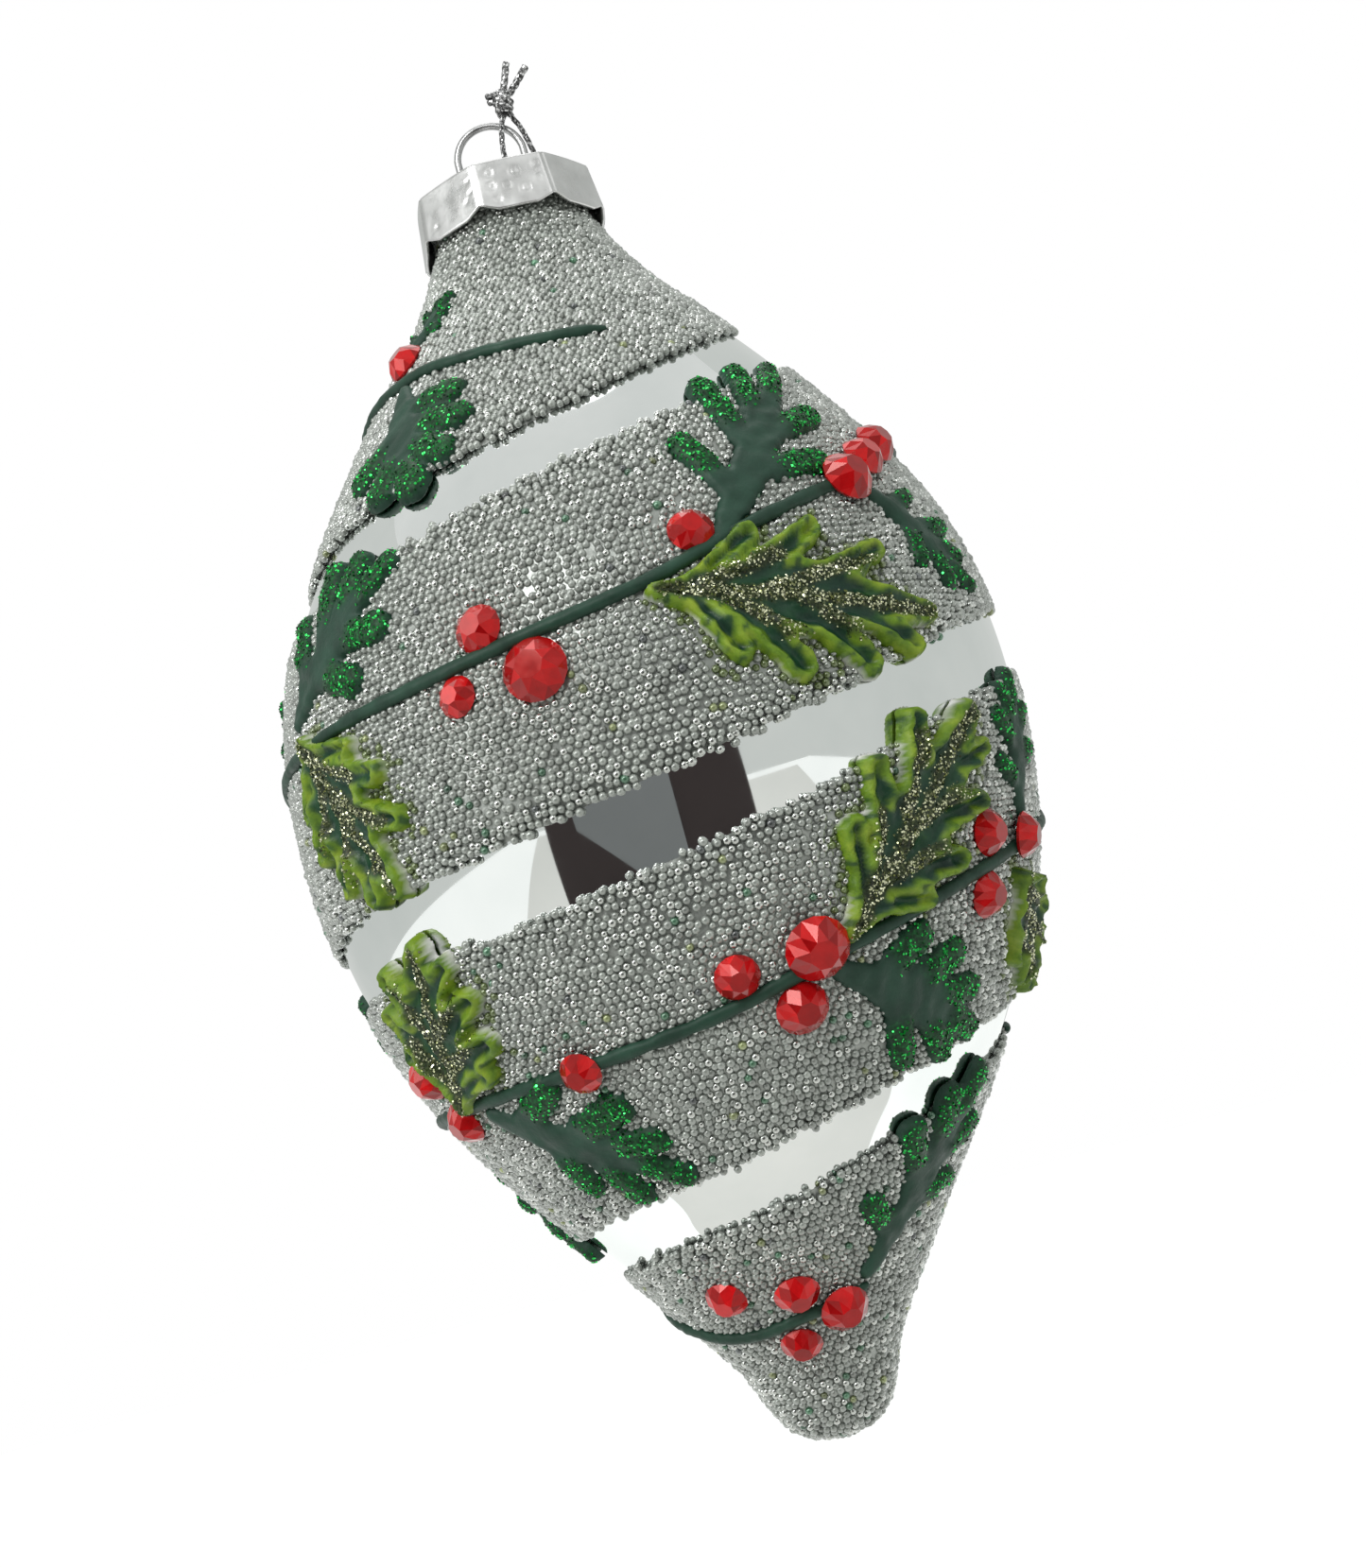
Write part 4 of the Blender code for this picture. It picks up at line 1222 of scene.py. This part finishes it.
def make_blades(leaf_material, sprig_material, gold, emerald):
    draw = np.random.default_rng(23)
    blades, leaf_flakes, sprig_flakes = [], [], []
    for number, place in enumerate(LEAVES, 1):
        leaf = Leaf(place)
        piece = leaf.mesh(f"leaf_{number:02d}", "ornament", "leaf_clay", leaf_material)
        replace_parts(piece, f"holly_leaf_{number:02d}")
        leaf_flakes.append(leaf.glitter(draw))
        blades.append(leaf)
    for number, place in enumerate(SPRIGS, 1):
        sprig = Sprig(place, LONG_TIPS if place[5] > 0 else FAN_TIPS)
        piece = sprig.mesh(f"sprig_shape_{number:02d}", "ornament", "sprig_paint", sprig_material)
        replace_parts(piece, f"sprig_{number:02d}")
        sprig_flakes.append(sprig.glitter(draw))
        blades.append(sprig)
    make_flakes("leaf_glitter", leaf_flakes, gold)
    make_flakes("sprig_glitter", sprig_flakes, emerald)
    return blades


# ---------------------------------------------------------------- vine and stones

def make_vine(name, route, material):
    angles, (heights,) = line_values(route, 1.2)
    lengths = length_at(heights * MM)
    centre = on_glass(angles, lengths, VINE_LIFT)
    tangent = unit(np.gradient(centre, axis=0))
    out = axes_at(angles, lengths)[2]
    side = unit(np.cross(out, tangent))
    sides = 14
    turn = np.arange(sides) * TAU / sides
    k = np.arange(len(angles), dtype=float)
    end = np.minimum(1.0, 0.35 + 0.2 * np.minimum(k, k[::-1]))
    swell = 1.0 + 0.1 * lumps(k * 0.5, k * 0.0, 1.6, 3) + 0.05 * lumps(k, k * 0.0, 1.5, 4)
    wide = VINE_WIDE * swell * end
    tall = VINE_TALL * end * (1.0 + 0.08 * lumps(k, k * 0.0, 2.2, 8))
    points = (centre[:, None, :]
              + wide[:, None, None] * np.cos(turn)[None, :, None] * side[:, None, :]
              + tall[:, None, None] * np.sin(turn)[None, :, None] * out[:, None, :])
    faces = closed_tube(len(angles), sides)
    vine = mesh_object(name + "_stem", points.reshape(-1, 3), faces, "ornament",
                       material)
    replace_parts(vine, name)


# Rings of corners from the back to the table: how many, shift, radius and height as shares.
STONE_RINGS = [
    (16, 0.0, 0.94, 0.0), (16, 0.0, 1.0, 0.14), (8, 0.5, 0.8, 0.55), (8, 0.0, 0.45, 0.94),
]
STONE_TALL = 0.4
STONE_LIFT = 0.62 * MM
STONE_ON_VINE = 0.55 * MM
STONE_RED = (0.5, 0.006, 0.008)
STONE_DEEP_RED = (0.05, 0.0, 0.0)
# Painted reflections: each facet's red is made brighter or darker in place of the foil's
# reflections.
STONE_FACET_GLEAMS = {0.5: 0.2, 0.75: 0.35, 1.0: 0.35, 1.25: 0.1}  # brightness of a facet, and its share


def make_stone(number, place, material, draw):
    """A flat-backed cut stone: girdle, lower and upper facets and a small table."""
    angle, height, diameter, on_vine = place
    radius = diameter * MM / 2
    tall = STONE_TALL * diameter * MM
    points, loops = [], []
    for count, shift, wide, up in STONE_RINGS:
        loop = []
        for k in range(count):
            turn = TAU * (k + shift) / count
            loop.append(len(points))
            points.append((radius * wide * math.cos(turn), radius * wide * math.sin(turn),
                           tall * up))
        loops.append(loop)
    base, girdle, middle, table = loops
    faces = [tuple(base[::-1]), tuple(table)]
    faces += [(base[k], base[(k + 1) % 16], girdle[(k + 1) % 16], girdle[k]) for k in range(16)]
    for k in range(8):
        after = (k + 1) % 8
        low = 2 * k
        faces.append((girdle[low], girdle[low + 1], middle[k]))
        faces.append((girdle[low + 1], girdle[(low + 2) % 16], middle[k]))
        faces.append((girdle[(low + 2) % 16], middle[after], table[after], middle[k]))
        faces.append((middle[k], table[after], table[k]))
    length = float(length_at(height * MM))
    sag = radius ** 2 / (2 * max(float(radius_at(length)), 8 * MM))
    foot = STONE_LIFT + 0.5 * sag + (STONE_ON_VINE if on_vine else 0.0)
    centre = on_glass(angle, length, foot)
    right, up, out = axes_at(np.float64(angle), np.float64(length))
    spin = draw.uniform(0, TAU)
    lean = unit(out + 0.05 * draw.normal(0.0, 1.0, 3))
    across = unit(np.cross(lean, up * math.cos(spin) + right * math.sin(spin)))
    over = np.cross(lean, across)
    local = np.array(points)
    world = centre + local[:, 0:1] * across + local[:, 1:2] * over + local[:, 2:3] * lean
    # Painted reflections: a random brightness of red for each facet.
    facet_gleams = draw.choice(list(STONE_FACET_GLEAMS), len(faces), p=list(STONE_FACET_GLEAMS.values()))
    mesh_points, mesh_faces, tints_and_light = [], [], []
    for face, shade in zip(faces, facet_gleams):
        mesh_faces.append(tuple(range(len(mesh_points), len(mesh_points) + len(face))))
        mesh_points += [world[i] for i in face]
        tints_and_light += [np.array(STONE_RED) * shade + STONE_DEEP_RED] * len(face)
    stone = mesh_object(f"stone_{number:02d}", mesh_points, mesh_faces, "ornament",
                        material, smooth=False)
    add_colours(stone, "tint_and_light", np.array(tints_and_light))
    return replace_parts(stone, f"rhinestone_{number:02d}")


# ---------------------------------------------------------------- cap and ring

def cap_profile(turn, share_down):
    """Point on the cap's skirt: turn in facets from the first corner, share from top to foot."""
    facet = int(math.floor(turn)) % FACETS
    s = turn - math.floor(turn)
    corners = [math.radians(CAP_CORNER_ANGLE + 360.0 * (facet + k) / FACETS) for k in (0, 1)]
    radius = CAP_TOP_RADIUS + (CAP_FOOT_RADIUS - CAP_TOP_RADIUS) * share_down
    a, b = [Vector((radius * math.sin(t), -radius * math.cos(t), 0.0)) for t in corners]
    point = a.lerp(b, s)
    out = (a + b).normalized()
    point += out * (FACET_BULGE * math.sin(math.pi * s))
    crease = min(s, 1.0 - s)
    point -= out * (CREASE_DEPTH * math.exp(-(crease / 0.022) ** 2))
    foot = CAP_CORNER_FOOT + (CAP_FACET_FOOT - CAP_CORNER_FOOT) * min(1.0, crease / 0.24)
    point.z = CAP_TOP + (foot - CAP_TOP) * share_down
    return point, out, s


# Small pressed rings on the facets: facet, shares across and down it, radius in mm.
DIMPLES = [
    (0, 0.2, 0.24, 0.42), (0, 0.2, 0.52, 0.36), (0, 0.42, 0.55, 0.34), (0, 0.56, 0.3, 0.55),
    (0, 0.64, 0.68, 0.5), (0, 0.26, 0.8, 0.28), (0, 0.86, 0.22, 0.3), (0, 0.84, 0.55, 0.3),
    (7, 0.9, 0.3, 0.16), (7, 0.91, 0.55, 0.14), (7, 0.82, 0.66, 0.14), (7, 0.25, 0.75, 0.14),
    (3, 0.3, 0.4, 0.45), (3, 0.65, 0.6, 0.4), (4, 0.5, 0.35, 0.5), (5, 0.4, 0.6, 0.4),
    (2, 0.6, 0.4, 0.4),
]
DIMPLE_DEPTH = 0.1 * MM
DIMPLE_LINE = 0.11 * MM

# The cap's flat top, from its edge inwards: share of the radius and rise in mm.
CAP_TOP_STEPS = [(0.985, 0.12), (0.94, 0.2), (0.86, 0.1), (0.8, 0.16), (0.72, 0.2), (0.3, 0.24)]


def make_cap(material):
    """The pressed cap: facets with their ring marks, and a closed top. Its sheet has a wall."""
    across, down = 36, 26
    points = []
    for row in range(down + 1):
        for column in range(FACETS * across):
            turn = column / across
            facet = column // across
            point, out, s = cap_profile(turn, row / down)
            side = 2 * CAP_FOOT_RADIUS * math.sin(math.pi / FACETS)
            tall = CAP_TOP - CAP_FACET_FOOT
            for number, ds, dd, radius in DIMPLES:
                if number == facet:
                    far = math.hypot((s - ds) * side, (row / down - dd) * tall)
                    groove = math.exp(-((far - radius * MM) / DIMPLE_LINE) ** 2)
                    point = point - out * (DIMPLE_DEPTH * groove)
            points.append(point)
    ring = FACETS * across
    faces = face_list(grid_faces(down + 1, ring, closed=True))
    for share, rise in CAP_TOP_STEPS:
        for column in range(ring):
            p = points[column]
            points.append(Vector((p.x * share, p.y * share, CAP_TOP + rise * MM)))
    top = len(points) - len(CAP_TOP_STEPS) * ring
    levels = [0] + [top + k * ring for k in range(len(CAP_TOP_STEPS))]
    for outer, inner in zip(levels, levels[1:]):
        for k in range(ring):
            after = (k + 1) % ring
            faces.append((outer + k, inner + k, inner + after, outer + after))
    points.append(Vector((0.0, 0.0, CAP_TOP + CAP_TOP_STEPS[-1][1] * MM)))
    last = levels[-1]
    faces += [(last + k, len(points) - 1, last + (k + 1) % ring) for k in range(ring)]
    cap = mesh_object("cap_pressed", points, [f[::-1] for f in faces], "cap",
                      material)
    wall = cap.modifiers.new("wall", "SOLIDIFY")
    wall.thickness = CAP_SHEET
    wall.offset = -1.0
    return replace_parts(cap, "cap_shell")


def make_ring(material):
    """Sprung wire: foot, leg, arch, leg and foot in one piece."""
    centre = WIRE / 2 - ARCH_RADIUS
    leg = [(FOOT_SPREAD - 0.5 * MM, LEG_FOOT), (FOOT_SPREAD, LEG_FOOT + 1.2 * MM),
           (FOOT_SPREAD, LEG_FOOT + 2.6 * MM), (ARCH_RADIUS + 0.7 * MM, LEG_BEND - 3 * MM),
           (ARCH_RADIUS, LEG_BEND), (ARCH_RADIUS, (LEG_BEND + centre) / 2)]
    turn = np.linspace(0.0, math.pi, 15)
    arch = list(zip(ARCH_RADIUS * np.cos(turn), centre + ARCH_RADIUS * np.sin(turn)))
    outline = leg + arch + [(-x, z) for x, z in reversed(leg)]
    path = smooth_line([(x, 0.0, z) for x, z in outline], 6)
    ring = tube_mesh("hanging_wire", path, WIRE / 2, WIRE_SIDES, "hanger", material)
    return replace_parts(ring, "hanging_ring")


# ---------------------------------------------------------------- stage

# The middle of the ornament, and the light of the world where the camera doesn't look.
MIDDLE = (0.0, 0.0, -0.075)
WORLD_LIGHT = (0.64, 0.66, 0.64)

# Round lights that face the middle: name, place, diameter in metres, power in watts.
LIGHTS = [
    ("key", (-0.42, -0.3, 0.12), 0.3, 0.9),
    ("fill", (0.4, -0.35, 0.3), 0.4, 0.25),
    ("top", (0.0, 0.1, 0.5), 0.4, 0.7),
    ("window", (-0.16, -0.48, 0.3), 0.24, 1.5),
]


def stage_finish(name, colour, glow=0.0):
    f = Finish(name, colour, 0.8)
    if glow:
        f.set("Emission Color", (*colour, 1.0))
        f.set("Emission Strength", glow)
    return f.material


def stand(thing, centre, facing, front):
    """Puts a thing on the stage at centre, with its front axis towards a point."""
    bpy.context.scene.collection.objects.link(thing)
    thing.location = centre
    thing.rotation_euler = (Vector(facing) - Vector(centre)).to_track_quat(front, "Y").to_euler()


def card(name, centre, facing, width, height, material, hidden=True):
    """A flat card on the stage; a hidden one is seen only in reflections."""
    mesh = bpy.data.meshes.new(name)
    w, h = width / 2, height / 2
    mesh.from_pydata([(-w, -h, 0), (w, -h, 0), (w, h, 0), (-w, h, 0)], [], [(0, 1, 2, 3)])
    mesh.materials.append(material)
    thing = bpy.data.objects.new(name, mesh)
    stand(thing, centre, facing, "Z")
    thing.visible_camera = not hidden
    thing.visible_shadow = not hidden
    thing.visible_diffuse = not hidden
    return thing


def area_light(name, centre, facing, size, power):
    data = bpy.data.lights.new(name, "AREA")
    data.shape = "DISK"
    data.size = size
    data.energy = power
    light = bpy.data.objects.new(name, data)
    stand(light, centre, facing, "-Z")
    light.visible_camera = False


def make_stage():
    """A white studio: the camera sees pure white, and the pieces are lit by a softer one."""
    scene = bpy.context.scene
    scene.view_settings.view_transform = "Standard"
    world = bpy.data.worlds.new("studio")
    scene.world = world
    world.use_nodes = True
    tree = world.node_tree
    back = tree.nodes["Background"]
    path = tree.nodes.new("ShaderNodeLightPath")
    mix = tree.nodes.new("ShaderNodeMix")
    mix.data_type = "RGBA"
    share, lit, seen = MIX_INPUTS
    mix.inputs[lit].default_value = (*WORLD_LIGHT, 1.0)
    mix.inputs[seen].default_value = (1.0, 1.0, 1.0, 1.0)
    tree.links.new(path.outputs["Is Camera Ray"], mix.inputs[share])
    tree.links.new(mix.outputs[MIX_COLOUR_OUTPUT], back.inputs["Color"])
    back.inputs["Strength"].default_value = 1.0

    floor = stage_finish("floor_white", (0.85, 0.85, 0.85), 0.6)
    ground = card("floor", (0.0, 0.0, -0.6), (0.0, 0.0, 1.0), 8.0, 8.0, floor, hidden=False)
    ground.visible_diffuse = False
    ceiling = stage_finish("ceiling_white", (0.7, 0.7, 0.7), 0.4)
    card("ceiling", (0.0, -0.4, 1.2), MIDDLE, 2.4, 2.4, ceiling)
    dark = stage_finish("dark_card", (0.03, 0.018, 0.018))
    card("dark_side", (-0.028, -0.26, -0.12), MIDDLE, 0.295, 0.24, dark)
    grey_card = stage_finish("grey_card", (0.13, 0.135, 0.138), 0.5)
    card("grey_side", (-0.058, -0.25, -0.175), (-0.058, 0.0, -0.175), 0.135, 0.2, grey_card)
    below = stage_finish("below_card", (0.7, 0.69, 0.67), 0.35)
    card("below", (0.0, -0.2, -0.5), MIDDLE, 1.4, 1.4, below)
    for name, centre, size, power in LIGHTS:
        area_light(name, centre, MIDDLE, size, power)


# ---------------------------------------------------------------- everything

def build():
    make_camera()
    make_cord(cord_finish())
    make_mirror(mirror_finish())
    make_glue(glue_finish())
    blades = make_blades(
        leaf_finish(),
        sprig_finish(),
        glitter_finish("gold_glitter", (0.16, 0.18, 0.06), (0.8, 0.82, 0.58)),
        glitter_finish("emerald_glitter", (0.005, 0.14, 0.02), (0.05, 0.62, 0.12)),
    )
    make_beads(blades, bead_finish())
    paint = vine_finish()
    for name, route in VINES.items():
        make_vine(name, route, paint)
    draw = np.random.default_rng(5)
    ruby = stone_finish()
    for number, place in enumerate(STONES, 1):
        make_stone(number, place, ruby, draw)
    make_cap(cap_finish())
    make_ring(wire_finish())
    make_stage()


build()
